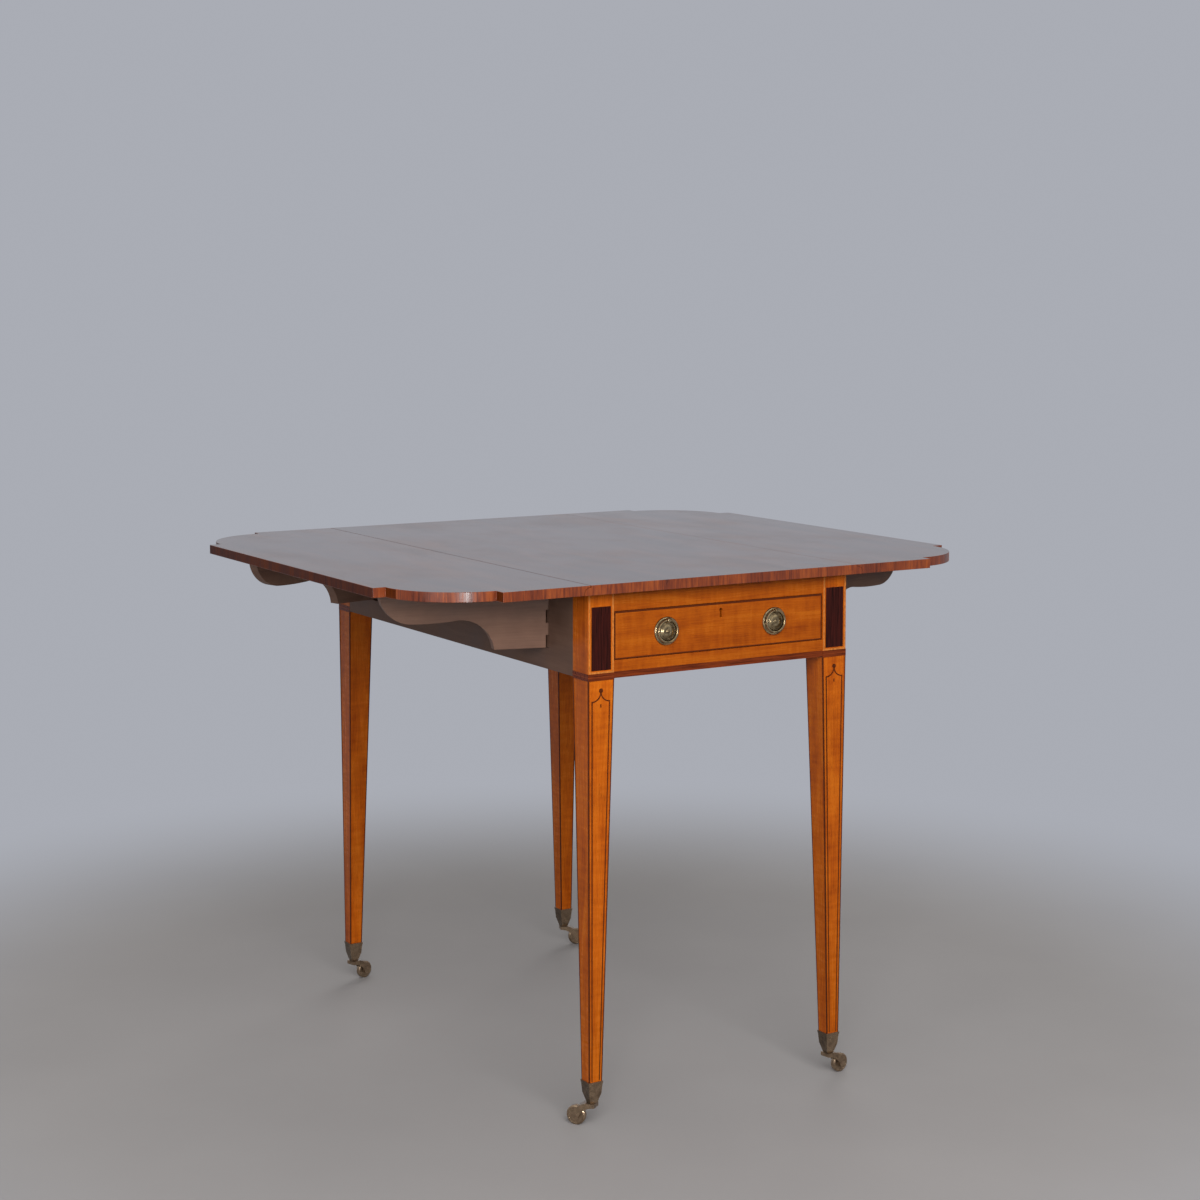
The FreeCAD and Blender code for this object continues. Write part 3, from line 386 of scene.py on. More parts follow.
def satinwood(name, axis, part):
    """Polished satinwood with its grain along an axis: fibres, a silky cross figure and pores."""
    tint = chosen("colours")
    depth = tint.rail_depth if part == "rail" else 1.0
    make = Finish(name)
    fibre = make.noise(make.grain(0.0011, 0.055, axis), detail=5, roughness=0.6)
    figure = make.noise(make.grain(0.018, 0.14, axis), detail=3, distortion=0.7)
    silk = make.noise(make.grain(0.030, 0.0075, axis), detail=2)
    tone = make.weighed((fibre, 0.36), (figure, 0.44), (silk, 0.20))
    wood = make.wood(tone, 0.15, (tint.satin_dark, tint.satin_mid, tint.satin_light), depth)
    pores = make.noise(make.grain(0.0005, 0.007, axis), detail=2)
    pores = make.ramp(pores, (0.30, 0.62), (0.40, 1.0))
    age = make.noise(make.cells((0.12, 0.12, 0.12)), detail=3)
    age = make.ramp(age, (0.30, 0.80), (0.62, 1.0))
    wood = make.darken(0.8, make.darken(1.0, wood, pores), age)
    make.bump(fibre, 0.00006, 0.5)
    roughness = make.weighed((figure, 0.22), (fibre, 0.16), (silk, 0.12))
    return make.done(wood, roughness, specular=0.12)


def rosewood(name, axis, part):
    """Dark panels, and the redder collars and rail bands: dark streaks in red brown."""
    tint = chosen("colours")
    dark, light = tint.rose_dark, tint.rose_light
    if part == "band":
        dark, light = tint.king_dark, tint.king_light
    make = Finish(name)
    streak = make.noise(make.grain(0.0024, 0.060, axis), detail=4, roughness=0.6, distortion=0.4)
    fibre = make.noise(make.grain(0.0006, 0.020, axis), detail=3)
    tone = make.weighed((streak, 0.7), (fibre, 0.3))
    wood = make.ramp(tone, (0.38, dark), (0.62, light))
    make.bump(fibre, 0.00004, 0.4)
    return make.done(wood, make.weighed((streak, 0.32), (fibre, 0.28)), specular=0.14)


def polished_top(name):
    """Upper surface of the top: dark figured wood under an old glossy polish with a slight haze."""
    tint = chosen("colours")
    make = Finish(name)
    fibre = make.noise(make.grain(0.0012, 0.070, 1), detail=5, roughness=0.6)
    figure = make.noise(make.grain(0.035, 0.26, 1), detail=4, distortion=1.1)
    cloud = make.noise(make.cells((0.11, 0.16, 0.11)), detail=3)
    tone = make.weighed((fibre, 0.30), (figure, 0.50), (cloud, 0.20))
    wood = make.wood(tone, 0.14, (tint.top_dark, tint.top_mid, tint.top_light))
    make.bump(fibre, 0.00003, 0.3)
    make.polish(0.45, 0.06)
    return make.done(wood, make.ramp(cloud, (0.40, 0.13), (0.66, 0.23)))


def crossband(name, part):
    """Edge of the top: short upright grain in pieces of veneer that differ in tone."""
    tint = chosen("colours")
    # Painted shade: the long edges take a darkened copy of the banding.
    depth = tint.long_depth if part == "long" else 1.0
    make = Finish(name)
    streak = make.noise(make.grain(0.0042, 0.045, 2), detail=4, roughness=0.6, distortion=0.3)
    fibre = make.noise(make.grain(0.0009, 0.030, 2), detail=2)
    leaf = make.noise(make.grain(0.034, 0.40, 2), detail=2)
    tone = make.weighed((streak, 0.40), (fibre, 0.30), (leaf, 0.30))
    wood = make.wood(tone, 0.12, (tint.band_dark, tint.band_mid, tint.band_light), depth)
    make.bump(streak, 0.00004, 0.4)
    specular = 0.06 if part == "long" else 0.60
    return make.done(wood, make.weighed((streak, 0.38), (leaf, 0.32)), specular=specular)


def plain_wood(name, axis, turn, part):
    """Unpolished wood of rails, brackets and drawer linings, its grain turned about Z by degrees."""
    tint = chosen("colours")
    # Painted shade: every part but the brackets and drawer linings is darkened, for the shade under the leaves.
    depth = 1.0 if part == "bracket" else tint.side_depth
    make = Finish(name)
    angle = math.radians(turn)
    fibre = make.noise(make.grain(0.0010, 0.045, axis, angle), detail=5, roughness=0.65)
    figure = make.noise(make.grain(0.014, 0.16, axis, angle), detail=4, distortion=0.9)
    grime = make.noise(make.cells((0.06, 0.06, 0.06)), detail=4)
    tone = make.weighed((fibre, 0.22), (figure, 0.26), (grime, 0.52))
    wood = make.wood(tone, 0.22, (tint.plain_dark, tint.plain_mid, tint.plain_light), depth)
    make.bump(fibre, 0.00008, 0.4)
    return make.done(wood, make.ramp(grime, (0.3, 0.50), (0.7, 0.72)), specular=0.3)


def stringing(name, shade):
    """Thin inlaid lines: pale, dark, or the red ones of the collars."""
    tint = chosen("colours")
    body = {"pale": tint.string_light, "dark": tint.string_dark, "red": tint.string_red}[shade]
    make = Finish(name)
    fibre = make.noise(make.cells((0.0011, 0.0011, 0.004)), detail=3)
    wood = make.ramp(fibre, (0.35, shaded(body, 0.62)), (0.62, body))
    return make.done(wood, make.ramp(fibre, (0.3, 0.34), (0.7, 0.46)), specular=0.15)


def brass(name, part):
    """Old brass: rubbed metal under patches of brown tarnish."""
    tint = chosen("colours")
    # Painted shade: the sockets' sides take a darkened copy of the caster brass.
    depth = tint.cast_depth if part == "cast_side" else 1.0
    bright, dull = tint.cast_bright, tint.cast_dull
    tarnished, rubbed, dents, metallic = 0.40, 0.22, 0.12, 0.85
    if part == "handle":
        bright, dull = tint.brass_bright, tint.brass_dull
        tarnished, rubbed, dents, metallic = 0.37, 0.20, 0.2, 1.0
    make = Finish(name)
    patches = make.noise(make.cells((0.007, 0.007, 0.007)), detail=5, roughness=0.6)
    specks = make.noise(make.cells((0.0012, 0.0012, 0.0012)), detail=3)
    tone = make.weighed((patches, 0.72), (specks, 0.28))
    metal = make.ramp(tone, (0.38, shaded(dull, depth)), (0.60, shaded(bright, depth)))
    make.bump(specks, 0.00006, dents)
    return make.done(metal, make.ramp(tone, (0.36, tarnished), (0.62, rubbed)), metallic)


def dark_iron(name):
    """Hinge plates, pins and screws."""
    tint = chosen("colours")
    make = Finish(name)
    rust = make.noise(make.cells((0.004, 0.004, 0.004)), detail=5)
    metal = make.ramp(rust, (0.36, shaded(tint.iron, 0.5)), (0.62, tint.iron))
    make.bump(rust, 0.00008, 0.5)
    return make.done(metal, make.ramp(rust, (0.3, 0.62), (0.7, 0.42)), metallic=1.0)


def stage_floor(name):
    """Matt pale floor that fades into the surround far from the table."""
    tint = chosen("colours")
    make = Finish(name)
    cloud = make.noise(make.cells((0.35, 0.35, 0.35)), detail=5)
    shade = make.ramp(cloud, (0.35, shaded(tint.floor, 0.95)), (0.65, tint.floor))
    make.done(make.darken(1.0, shade, make.seen_share(tint.bounce)), 0.75)
    reach = make.node("ShaderNodeVectorMath", {0: make.place["Object"]}, operation="LENGTH")
    share = make.node("ShaderNodeMapRange", {
        "Value": reach.outputs["Value"], "From Min": FADE_START, "From Max": FADE_END,
    }, interpolation_type="SMOOTHSTEP")
    glow = make.node("ShaderNodeEmission", {
        "Color": (*tint.backdrop, 1), "Strength": make.seen_share(tint.bounce)})
    blend = make.node("ShaderNodeMixShader", {
        "Fac": share.outputs["Result"], 1: make.surface.outputs["BSDF"],
        2: glow.outputs["Emission"]})
    make.feed(make.output, {"Surface": blend.outputs["Shader"]})
    return make.material


def body_of(node):
    """The body that a frame's node belongs to."""
    groups = frame["record"]["behaviour"]["bodies"]
    return next(body for body, members in groups.items() if node in members)


def dress(node, finish):
    """Gives a frame's node a finish."""
    mesh = frame["nodes"][node].data
    mesh.materials.clear()
    mesh.materials.append(finish)


def piece(name, shape, finish, body, slot, *stands_for):
    """Makes a mesh into a piece that rides on a body, and frees the mesh under construction."""
    mesh = bpy.data.meshes.new(name)
    shape.to_mesh(mesh)
    shape.free()
    mesh.materials.append(finish)
    made = bpy.data.objects.new(name, mesh)
    bpy.context.scene.collection.objects.link(made)
    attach(made, body)
    if stands_for:
        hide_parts(*stands_for)
    return made


def shade_smooth(made):
    """Smooth shading that keeps the broad faces flat."""
    made.data.shade_smooth()
    normals = made.modifiers.new("Normals", "WEIGHTED_NORMAL")
    normals.keep_sharp = True


def soften(node, width, finish, slot):
    """A frame's node with its sharp edges eased."""
    shape = bmesh.new()
    shape.from_mesh(frame["nodes"][node].data)
    bmesh.ops.remove_doubles(shape, verts=shape.verts, dist=WELD)
    bmesh.ops.dissolve_limit(shape, angle_limit=FLAT_ANGLE, verts=shape.verts, edges=shape.edges)
    sharp = [edge for edge in shape.edges
             if edge.is_manifold and edge.calc_face_angle() > SHARP_ANGLE]
    bmesh.ops.bevel(shape, geom=sharp, offset=width, offset_type="OFFSET", affect="EDGES",
                    segments=2, profile=0.5, clamp_overlap=True, material=-1)
    bmesh.ops.dissolve_degenerate(shape, dist=WELD, edges=shape.edges)
    made = piece(f"{node}_eased", shape, finish, body_of(node), slot, node)
    shade_smooth(made)
    return made


def box_into(shape, low, high):
    """Adds a box between two corners."""
    middle = (Vector(low) + Vector(high)) / 2
    size = Vector(high) - Vector(low)
    place = Matrix.Translation(middle) @ Matrix.Diagonal((*size, 1))
    bmesh.ops.create_cube(shape, size=1, matrix=place)


def turned_into(shape, profile, centre, axis, steps):
    """Adds a turned form: pairs of radius and height, spun about an axis through a centre."""
    direction = Vector(axis)
    across = direction.orthogonal().normalized()
    line = [shape.verts.new(centre + across * radius + direction * height)
            for radius, height in profile]
    edges = [shape.edges.new(pair) for pair in zip(line, line[1:])]
    bmesh.ops.spin(shape, geom=line + edges, cent=centre, axis=direction, angle=math.tau,
                   steps=steps, use_merge=True)


def close_up(shape):
    """Merges the seam and poles of turned forms and turns their faces outwards."""
    bmesh.ops.remove_doubles(shape, verts=shape.verts, dist=WELD)
    bmesh.ops.recalc_face_normals(shape, faces=shape.faces)


class LegFace:
    """A long face of a leg, which places points by offset from its middle, level and lift."""

    def __init__(self, corner, axis, outside):
        side, end = CORNERS[corner]
        self.axis = axis
        self.sign = (side, end)[axis] * (1 if outside else -1)
        self.straight = leg_section(corner, FRIEZE_LOW)
        self.foot = leg_section(corner, BRASS_LEVEL)

    def section(self, level):
        """Low and high corner of the leg at a level."""
        share = max(0, (FRIEZE_LOW - level) / (FRIEZE_LOW - BRASS_LEVEL))
        return [top.lerp(foot, share) for top, foot in zip(self.straight, self.foot)]

    def half(self, level):
        """Half the width of the face at a level."""
        low, high = self.section(level)
        across = 1 - self.axis
        return (high[across] - low[across]) / 2

    def point(self, offset, level, lift):
        """A point of the frame on or over the face."""
        low, high = self.section(level)
        across = 1 - self.axis
        place = Vector((0, 0, level))
        place[across] = (low[across] + high[across]) / 2 + offset
        place[self.axis] = (high if self.sign > 0 else low)[self.axis] + self.sign * lift
        return place


def leg_section(corner, level):
    """Low and high corner of a leg where its shape changes at a level."""
    vertices = frame["nodes"][f"{corner}_leg"].data.vertices
    places = [vertex.co for vertex in vertices if abs(vertex.co.z - level) < LEVEL_REACH]
    low = Vector([min(place[axis] for place in places) for axis in range(3)])
    high = Vector([max(place[axis] for place in places) for axis in range(3)])
    return low, high


def let_in(shape, face, strip):
    """Adds inlay on a leg's face: rows of (offset, level) pairs make a strip, sunk in the wood."""
    inlay = chosen("inlay")
    rows = [[shape.verts.new(face.point(*place, inlay.proud)) for place in row] for row in strip]
    quads = []
    for (first, second), (third, fourth) in zip(rows, rows[1:]):
        quads.append(shape.faces.new((first, second, fourth, third)))
    sunk = bmesh.ops.extrude_face_region(shape, geom=quads)
    inward = Vector((0, 0, 0))
    inward[face.axis] = -face.sign * (inlay.proud + inlay.depth)
    verts = [item for item in sunk["geom"] if isinstance(item, bmesh.types.BMVert)]
    bmesh.ops.translate(shape, vec=inward, verts=verts)


def along_line(points, width):
    """Rows of left and right points of a line with a width, mitred at its corners."""
    rows = []
    for i, here in enumerate(points):
        before = Vector(points[max(i - 1, 0)])
        after = Vector(points[min(i + 1, len(points) - 1)])
        here = Vector(here)
        ways = [(here - before).normalized(), (after - here).normalized()]
        ways = [way for way in ways if way.length > 0]
        middle = sum(ways, Vector((0, 0))).normalized()
        reach = width / 2 / max(middle.dot(ways[0]), MITRE_LIMIT)
        aside = Vector((-middle.y, middle.x)) * reach
        rows.append((here + aside, here - aside))
    return rows


def arch_line(face):
    """The leg's inlaid line: up one side, over a pointed arch with hollow shoulders, and down."""
    inlay = chosen("inlay")
    apex = inlay.collar_low - inlay.arch_drop
    shoulder = inlay.collar_low - inlay.shoulder_drop
    width = face.half(shoulder) - inlay.leg_inset_top
    foot = BRASS_LEVEL + inlay.string_width
    left = [(-(face.half(foot) - inlay.leg_inset_foot), foot)]
    for step in range(ARCH_STEPS + 1):
        turn = math.radians(90 * step / ARCH_STEPS)
        left.append((-width + width * math.sin(turn), apex - (apex - shoulder) * math.cos(turn)))
    right = [(-offset, level) for offset, level in reversed(left[:-1])]
    return left + right


def disc_strip(middle, radius):
    """Rows that make a disc of strips across it."""
    rows = []
    for step in range(DISC_STEPS + 1):
        turn = math.pi * step / DISC_STEPS
        half = max(radius * math.sin(turn), DISC_TIP * radius)
        level = middle - radius * math.cos(turn)
        rows.append(((half, level), (-half, level)))
    return rows


class PEMBROKE_OT_top(bpy.types.Operator):
    """Centre board and leaves with a crossbanded edge"""

    bl_idname = "pembroke.top"
    bl_label = "Top and leaves"
    edge: length("Edge", "Easing of the top's edges", 0.0005)

    def execute(self, context):
        for node in ("centre_top", "left_leaf", "right_leaf"):
            made = soften(node, self.edge, finish_of(polished_top), "top_wood")
            bands = [finish_of(crossband, part) for part in ("end", "long")]
            # The underside's plain wood is darkened as painted shade.
            for finish in (*bands, finish_of(plain_wood, 1, 0, "rail")):
                made.data.materials.append(finish)
            for face in made.data.polygons:
                face.material_index = self.finish_index(face.normal)
        return {"FINISHED"}

    @staticmethod
    def finish_index(normal):
        """The finish of a face: polish above, plain wood below, bands on the end and long edges; the long edges'
        band and the plain wood are darkened as painted shade.
        """
        if abs(normal.z) > FLATNESS:
            return 0 if normal.z > 0 else 3
        return 2 if abs(normal.x) > LONG_EDGE else 1


class PEMBROKE_OT_frame(bpy.types.Operator):
    """Legs, end rails and the fixed front of the far end"""

    bl_idname = "pembroke.frame"
    bl_label = "Legs and end rails"
    edge: length("Edge", "Easing of the frame's edges", 0.0004)

    def execute(self, context):
        for corner in CORNERS:
            soften(f"{corner}_leg", self.edge, finish_of(satinwood, 2, "leg"), "satinwood")
        rails = [f"{end}_{level}_rail" for end in ENDS for level in ("upper", "lower")]
        for node in (*rails, "dummy_drawer_front"):
            soften(node, self.edge, finish_of(satinwood, 0, "rail"), "satinwood")
        return {"FINISHED"}


class PEMBROKE_OT_sides(bpy.types.Operator):
    """Side rails, fly brackets, runners and kickers of plain wood"""

    bl_idname = "pembroke.sides"
    bl_label = "Side rails and brackets"
    edge: length("Edge", "Easing of the plain wood's edges", 0.0006)
    opening: bpy.props.FloatProperty(
        name="Opening", description="Angle at which the brackets stand from the side",
        default=math.radians(15), subtype="ANGLE", unit="ROTATION")

    def execute(self, context):
        # The rails' plain wood is darkened as painted shade; the brackets' is not.
        along = finish_of(plain_wood, 1, 0, "rail")
        for side in SIDES:
            soften(f"{side}_fly_rail", self.edge, along, "secondary_wood")
            for node in ("inner_rail", "drawer_runner", "drawer_kicker"):
                dress(f"{side}_{node}", along)
            dress(f"{side}_bracket_pins", finish_of(dark_iron))
        degrees = round(math.degrees(self.opening))
        for corner, (side, end) in CORNERS.items():
            wood = finish_of(plain_wood, 0, -side * end * degrees, "bracket")
            soften(f"{corner}_bracket", self.edge, wood, "secondary_wood")
        return {"FINISHED"}


class PEMBROKE_OT_inlay(bpy.types.Operator):
    """Panels, stringing, collars and bands let into the legs and end rails"""

    bl_idname = "pembroke.inlay"
    bl_label = "Inlay"

    def execute(self, context):
        for corner in CORNERS:
            self.panel(corner)
            self.arch(corner)
            self.edges(corner)
            self.collar(corner)
        for end_name, end in ENDS.items():
            self.rail_band(end_name, end)
        return {"FINISHED"}

    def panel(self, corner):
        """Dark panel in the leg's square top, with pale lines beside it and under it. The lines beside it are
        partly stringing, partly painted highlight.
        """
        inlay = chosen("inlay")
        face = LegFace(corner, 1, True)
        half = inlay.panel_half
        dark = bmesh.new()
        levels = (inlay.panel_low, inlay.panel_high)
        let_in(dark, face, [((-half, level), (half, level)) for level in levels])
        close_up(dark)
        piece(f"{corner}_panel", dark, finish_of(rosewood, 2, "panel"), "frame", "top_wood")
        # The side lines at the leg's corners are partly pale stringing and partly painted highlight of the
        # arrises.
        outer = face.half(inlay.panel_low) - inlay.panel_edge
        inner = outer - inlay.panel_string
        foot = inlay.collar_low + inlay.collar_height
        pale = bmesh.new()
        levels = (foot, UNDERSIDE - inlay.depth)
        let_in(pale, face, [((-outer, level), (-inner, level)) for level in levels])
        let_in(pale, face, [((inner, level), (outer, level)) for level in levels])
        inner -= SEAM
        levels = (foot, foot + inlay.panel_string)
        let_in(pale, face, [((-inner, level), (inner, level)) for level in levels])
        close_up(pale)
        piece(f"{corner}_panel_line", pale, finish_of(stringing, "pale"), "frame", "satinwood")

    def arch(self, corner):
        """Arched line, dot and small mark on the leg's end face."""
        inlay = chosen("inlay")
        face = LegFace(corner, 1, True)
        apex = inlay.collar_low - inlay.arch_drop
        mark = apex - inlay.mark_drop
        half = inlay.string_width / 2
        shape = bmesh.new()
        let_in(shape, face, along_line(arch_line(face), inlay.string_width))
        let_in(shape, face, disc_strip(apex + DOT_LIFT * inlay.dot_radius, inlay.dot_radius))
        levels = (mark - inlay.mark_length, mark)
        let_in(shape, face, [((-half, level), (half, level)) for level in levels])
        close_up(shape)
        piece(f"{corner}_arch_line", shape, finish_of(stringing, "dark"), "frame", "top_wood")

    def edges(self, corner):
        """Dark lines along the four corners of the tapered leg."""
        inlay = chosen("inlay")
        shape = bmesh.new()
        levels = (BRASS_LEVEL, inlay.collar_low)
        for axis in (0, 1):
            for outside in (True, False):
                face = LegFace(corner, axis, outside)
                for sign in (-1, 1):
                    rows = []
                    for level in levels:
                        edge = sign * face.half(level)
                        rows.append(((edge - sign * inlay.edge_width, level), (edge, level)))
                    let_in(shape, face, rows)
        close_up(shape)
        piece(f"{corner}_edge_lines", shape, finish_of(stringing, "dark"), "frame", "top_wood")

    def collar(self, corner):
        """Banded collar round the leg at the bottom of the frieze: dark, lighter, dark."""
        inlay = chosen("inlay")
        low, high = leg_section(corner, FRIEZE_LOW)
        base = inlay.collar_low
        middle = base + inlay.collar_height / 2
        half_line = inlay.collar_line / 2
        layers = {
            "dark": ((base, middle - half_line), (middle + half_line, base + inlay.collar_height)),
            "line": ((middle - half_line, middle + half_line),),
        }
        for shade, levels in layers.items():
            shape = bmesh.new()
            lift = Vector((COLLAR_LIFT, COLLAR_LIFT, 0)) * inlay.proud
            for start, stop in levels:
                box_into(shape, (*(low - lift).xy, start), (*(high + lift).xy, stop))
            wood = finish_of(rosewood, 0, "band") if shade == "dark" else finish_of(stringing, "red")
            piece(f"{corner}_collar_{shade}", shape, wood, "frame", "top_wood")

    def rail_band(self, end_name, end):
        """Dark band along the lower edge of an end rail."""
        inlay = chosen("inlay")
        shape = bmesh.new()
        depths = sorted((end * (RAIL_FACE - inlay.depth), end * (RAIL_FACE + inlay.proud)))
        low = Vector((-LEG_INSIDE, depths[0], FRIEZE_LOW - inlay.proud))
        high = Vector((LEG_INSIDE, depths[1], FRIEZE_LOW + inlay.rail_band))
        box_into(shape, low, high)
        piece(f"{end_name}_rail_band", shape, finish_of(rosewood, 0, "band"), "frame", "top_wood")


class PEMBROKE_OT_drawer(bpy.types.Operator):
    """Drawer front with its dark edge lines and painted gap shadow, linings and lock"""

    bl_idname = "pembroke.drawer"
    bl_label = "Drawer"
    edge: length("Edge", "Easing of the drawer's edges", 0.0004)

    def execute(self, context):
        soften("drawer_front", self.edge, finish_of(satinwood, 0, "rail"), "satinwood")
        for node in ("drawer_left_side", "drawer_right_side"):
            soften(node, self.edge, finish_of(plain_wood, 1, 0, "bracket"), "secondary_wood")
        for node in ("drawer_back", "drawer_bottom"):
            soften(node, self.edge, finish_of(plain_wood, 0, 0, "bracket"), "secondary_wood")
        for node in ("drawer_lock", "lock_bolt"):
            dress(node, finish_of(brass, "handle"))
        self.lines()
        return {"FINISHED"}

    def lines(self):
        """Dark lines let into the four edges of the drawer front, widened to paint the shadow in the gaps round
        it, the top one most.
        """
        inlay = chosen("inlay")
        width, top = inlay.drawer_line, inlay.drawer_top_line
        left, right = DRAWER_LOW.x, DRAWER_HIGH.x
        low, high = DRAWER_LOW.z, DRAWER_HIGH.z
        strips = (
            ((left, low), (right, low + width)),
            ((left, high - top), (right, high)),
            ((left, low + width + SEAM), (left + width, high - top - SEAM)),
            ((right - width, low + width + SEAM), (right, high - top - SEAM)),
        )
        front, back = DRAWER_LOW.y - inlay.proud, DRAWER_LOW.y + inlay.depth
        shape = bmesh.new()
        for (x_low, z_low), (x_high, z_high) in strips:
            box_into(shape, (x_low, front, z_low), (x_high, back, z_high))
        piece("drawer_lines_and_gap_shadow", shape, finish_of(stringing, "dark"), "drawer", "top_wood")


class PEMBROKE_OT_pulls(bpy.types.Operator):
    """Ring pulls: moulded backplates with an eye, rings, and their nuts inside the drawer"""

    bl_idname = "pembroke.pulls"
    bl_label = "Ring pulls"

    def execute(self, context):
        for corner, (_, end) in CORNERS.items():
            self.plate(corner, end)
            self.ring(corner, end)
            if end < 0:
                self.nut(corner)
        return {"FINISHED"}

    def centre(self, corner):
        """The middle of a plate's back, and its radius."""
        low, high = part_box(f"{corner}_handle_plate")
        radius = (high.x - low.x) / 2
        back = high.y if CORNERS[corner][1] < 0 else low.y
        return Vector(((low.x + high.x) / 2, back, low.z + radius)), radius

    def hang(self, corner):
        """The point of the frame that a ring hangs from."""
        ring = f"{corner}_handle_ring"
        return Vector(next(joint["pos_m"] for joint in frame["joints"] if joint["child"] == ring))

    def plate(self, corner, end):
        """Backplate of concentric mouldings round a domed boss, with the ring's barrel."""
        middle, radius = self.centre(corner)
        profile = [(share * radius, height) for share, height in PLATE_PROFILE]
        shape = bmesh.new()
        turned_into(shape, profile, middle, (0, end, 0), PLATE_STEPS)
        self.eye(shape, self.hang(corner))
        close_up(shape)
        node = f"{corner}_handle_plate"
        made = piece(f"{corner}_backplate", shape, finish_of(brass, "handle"), body_of(node),
                     "aged_brass", node)
        made.data.shade_smooth()

    def eye(self, shape, hang):
        """Short barrel round the ring's wire."""
        sizes = chosen("brass")
        half = sizes.eye_length / 2
        outer = sizes.eye_bore + sizes.eye_wall
        round_off = sizes.eye_wall / 3
        profile = [
            (sizes.eye_bore, -half), (outer - round_off, -half), (outer, -half + round_off),
            (outer, half - round_off), (outer - round_off, half), (sizes.eye_bore, half),
            (sizes.eye_bore, -half),
        ]
        turned_into(shape, profile, hang, (1, 0, 0), EYE_STEPS)

    def ring(self, corner, end):
        """The ring itself, a bent wire."""
        wire = chosen("brass").wire
        hang = self.hang(corner)
        middle = self.centre(corner)[0]
        radius = hang.z - middle.z
        centre = Vector((hang.x, hang.y, middle.z))
        turns = [math.tau * step / WIRE_STEPS for step in range(WIRE_STEPS + 1)]
        profile = [(radius + wire * math.cos(turn), wire * math.sin(turn)) for turn in turns]
        shape = bmesh.new()
        turned_into(shape, profile, centre, (0, end, 0), RING_STEPS)
        close_up(shape)
        node = f"{corner}_handle_ring"
        made = piece(f"{corner}_ring", shape, finish_of(brass, "handle"), node, "aged_brass", node)
        made.data.shade_smooth()

    def nut(self, corner):
        """Six-sided nut on the handle's bolt, inside the drawer front."""
        sizes = chosen("brass")
        middle = self.centre(corner)[0]
        start = Vector((middle.x, DRAWER_HIGH.y, middle.z))
        radius, height = sizes.nut_radius, sizes.nut_height
        profile = [(share * radius, part * height) for share, part in NUT_PROFILE]
        shape = bmesh.new()
        turned_into(shape, profile, start, (0, 1, 0), NUT_SIDES)
        close_up(shape)
        piece(f"{corner}_handle_nut", shape, finish_of(brass, "handle"), "drawer", "aged_brass")


class PEMBROKE_OT_hinges(bpy.types.Operator):
    """Table hinges under the seams, with their screws"""

    bl_idname = "pembroke.hinges"
    bl_label = "Hinges"

    def execute(self, context):
        for side in SIDES:
            for node in ("hinge_frame_flaps", "hinge_leaf_flaps", "hinge_pins"):
                dress(f"{side}_{node}", finish_of(dark_iron))
            for flaps in ("hinge_frame_flaps", "hinge_leaf_flaps"):
                self.screws(side, flaps)
        return {"FINISHED"}

    def screws(self, side, flaps):
        """Three slotted screws in each flap of one side."""
        node = f"{side}_{flaps}"
        low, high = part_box(node)
        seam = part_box(f"{side}_hinge_pins")
        seam_x = (seam[0].x + seam[1].x) / 2
        far_x = low.x if abs(low.x - seam_x) > abs(high.x - seam_x) else high.x
        reach = far_x - seam_x
        outer = high.y - HINGE_LENGTH / 2
        shape = bmesh.new()
        for middle in (-outer, 0, outer):
            for share, along in SCREW_PLACES:
                place = (seam_x + reach * share, middle + along * HINGE_LENGTH, UNDERSIDE)
                self.screw(shape, Vector(place))
        close_up(shape)
        piece(f"{node}_screws", shape, finish_of(dark_iron), body_of(node), "iron")

    def screw(self, shape, place):
        """A slotted head: a small block on each side of the slot."""
        sizes = chosen("brass")
        radius, height = sizes.screw_radius, sizes.screw_height
        for sign in (-1, 1):
            middle = place + Vector((sign * radius * HALF_OFFSET, 0, -height / 2))
            size = Vector((radius * HALF_WIDTH, radius * HALF_LENGTH, height))
            box_into(shape, middle - size / 2, middle + size / 2)


class PEMBROKE_OT_casters(bpy.types.Operator):
    """Brass sockets with their screws, horns and wheels"""

    bl_idname = "pembroke.casters"
    bl_label = "Casters"
    edge: length("Edge", "Easing of the castings' edges", 0.0006)

    def execute(self, context):
        metal = finish_of(brass, "cast")
        for corner in CORNERS:
            for part in ("horn", "wheel"):
                soften(f"{corner}_caster_{part}", self.edge, metal, "aged_brass")
            socket = soften(f"{corner}_caster_socket", self.edge, metal, "aged_brass")
            # Sideways faces of a socket get the darkened copy as painted shade.
            socket.data.materials.append(finish_of(brass, "cast_side"))
            for face in socket.data.polygons:
                face.material_index = int(abs(face.normal.x) > SIDEWAYS)
            self.studs(corner)
        return {"FINISHED"}

    def studs(self, corner):
        """Domed screw heads on the four faces of a socket."""
        radius = chosen("brass").stud_radius
        low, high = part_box(f"{corner}_caster_socket")
        middle = (low + high) / 2
        level = low.z + (high.z - low.z) * STUD_LEVEL
        profile = [(share * radius, height) for share, height in STUD_PROFILE]
        shape = bmesh.new()
        for axis in (0, 1):
            for sign in (-1, 1):
                outward = Vector((0, 0, 0))
                outward[axis] = sign
                reach = (high[axis] - low[axis]) / 2 - STUD_INSET
                place = Vector((middle.x, middle.y, level)) + outward * reach
                turned_into(shape, profile, place, outward, STUD_STEPS)
        close_up(shape)
        made = piece(f"{corner}_socket_screws", shape, finish_of(brass, "cast"), "frame",
                     "aged_brass")
        made.data.shade_smooth()


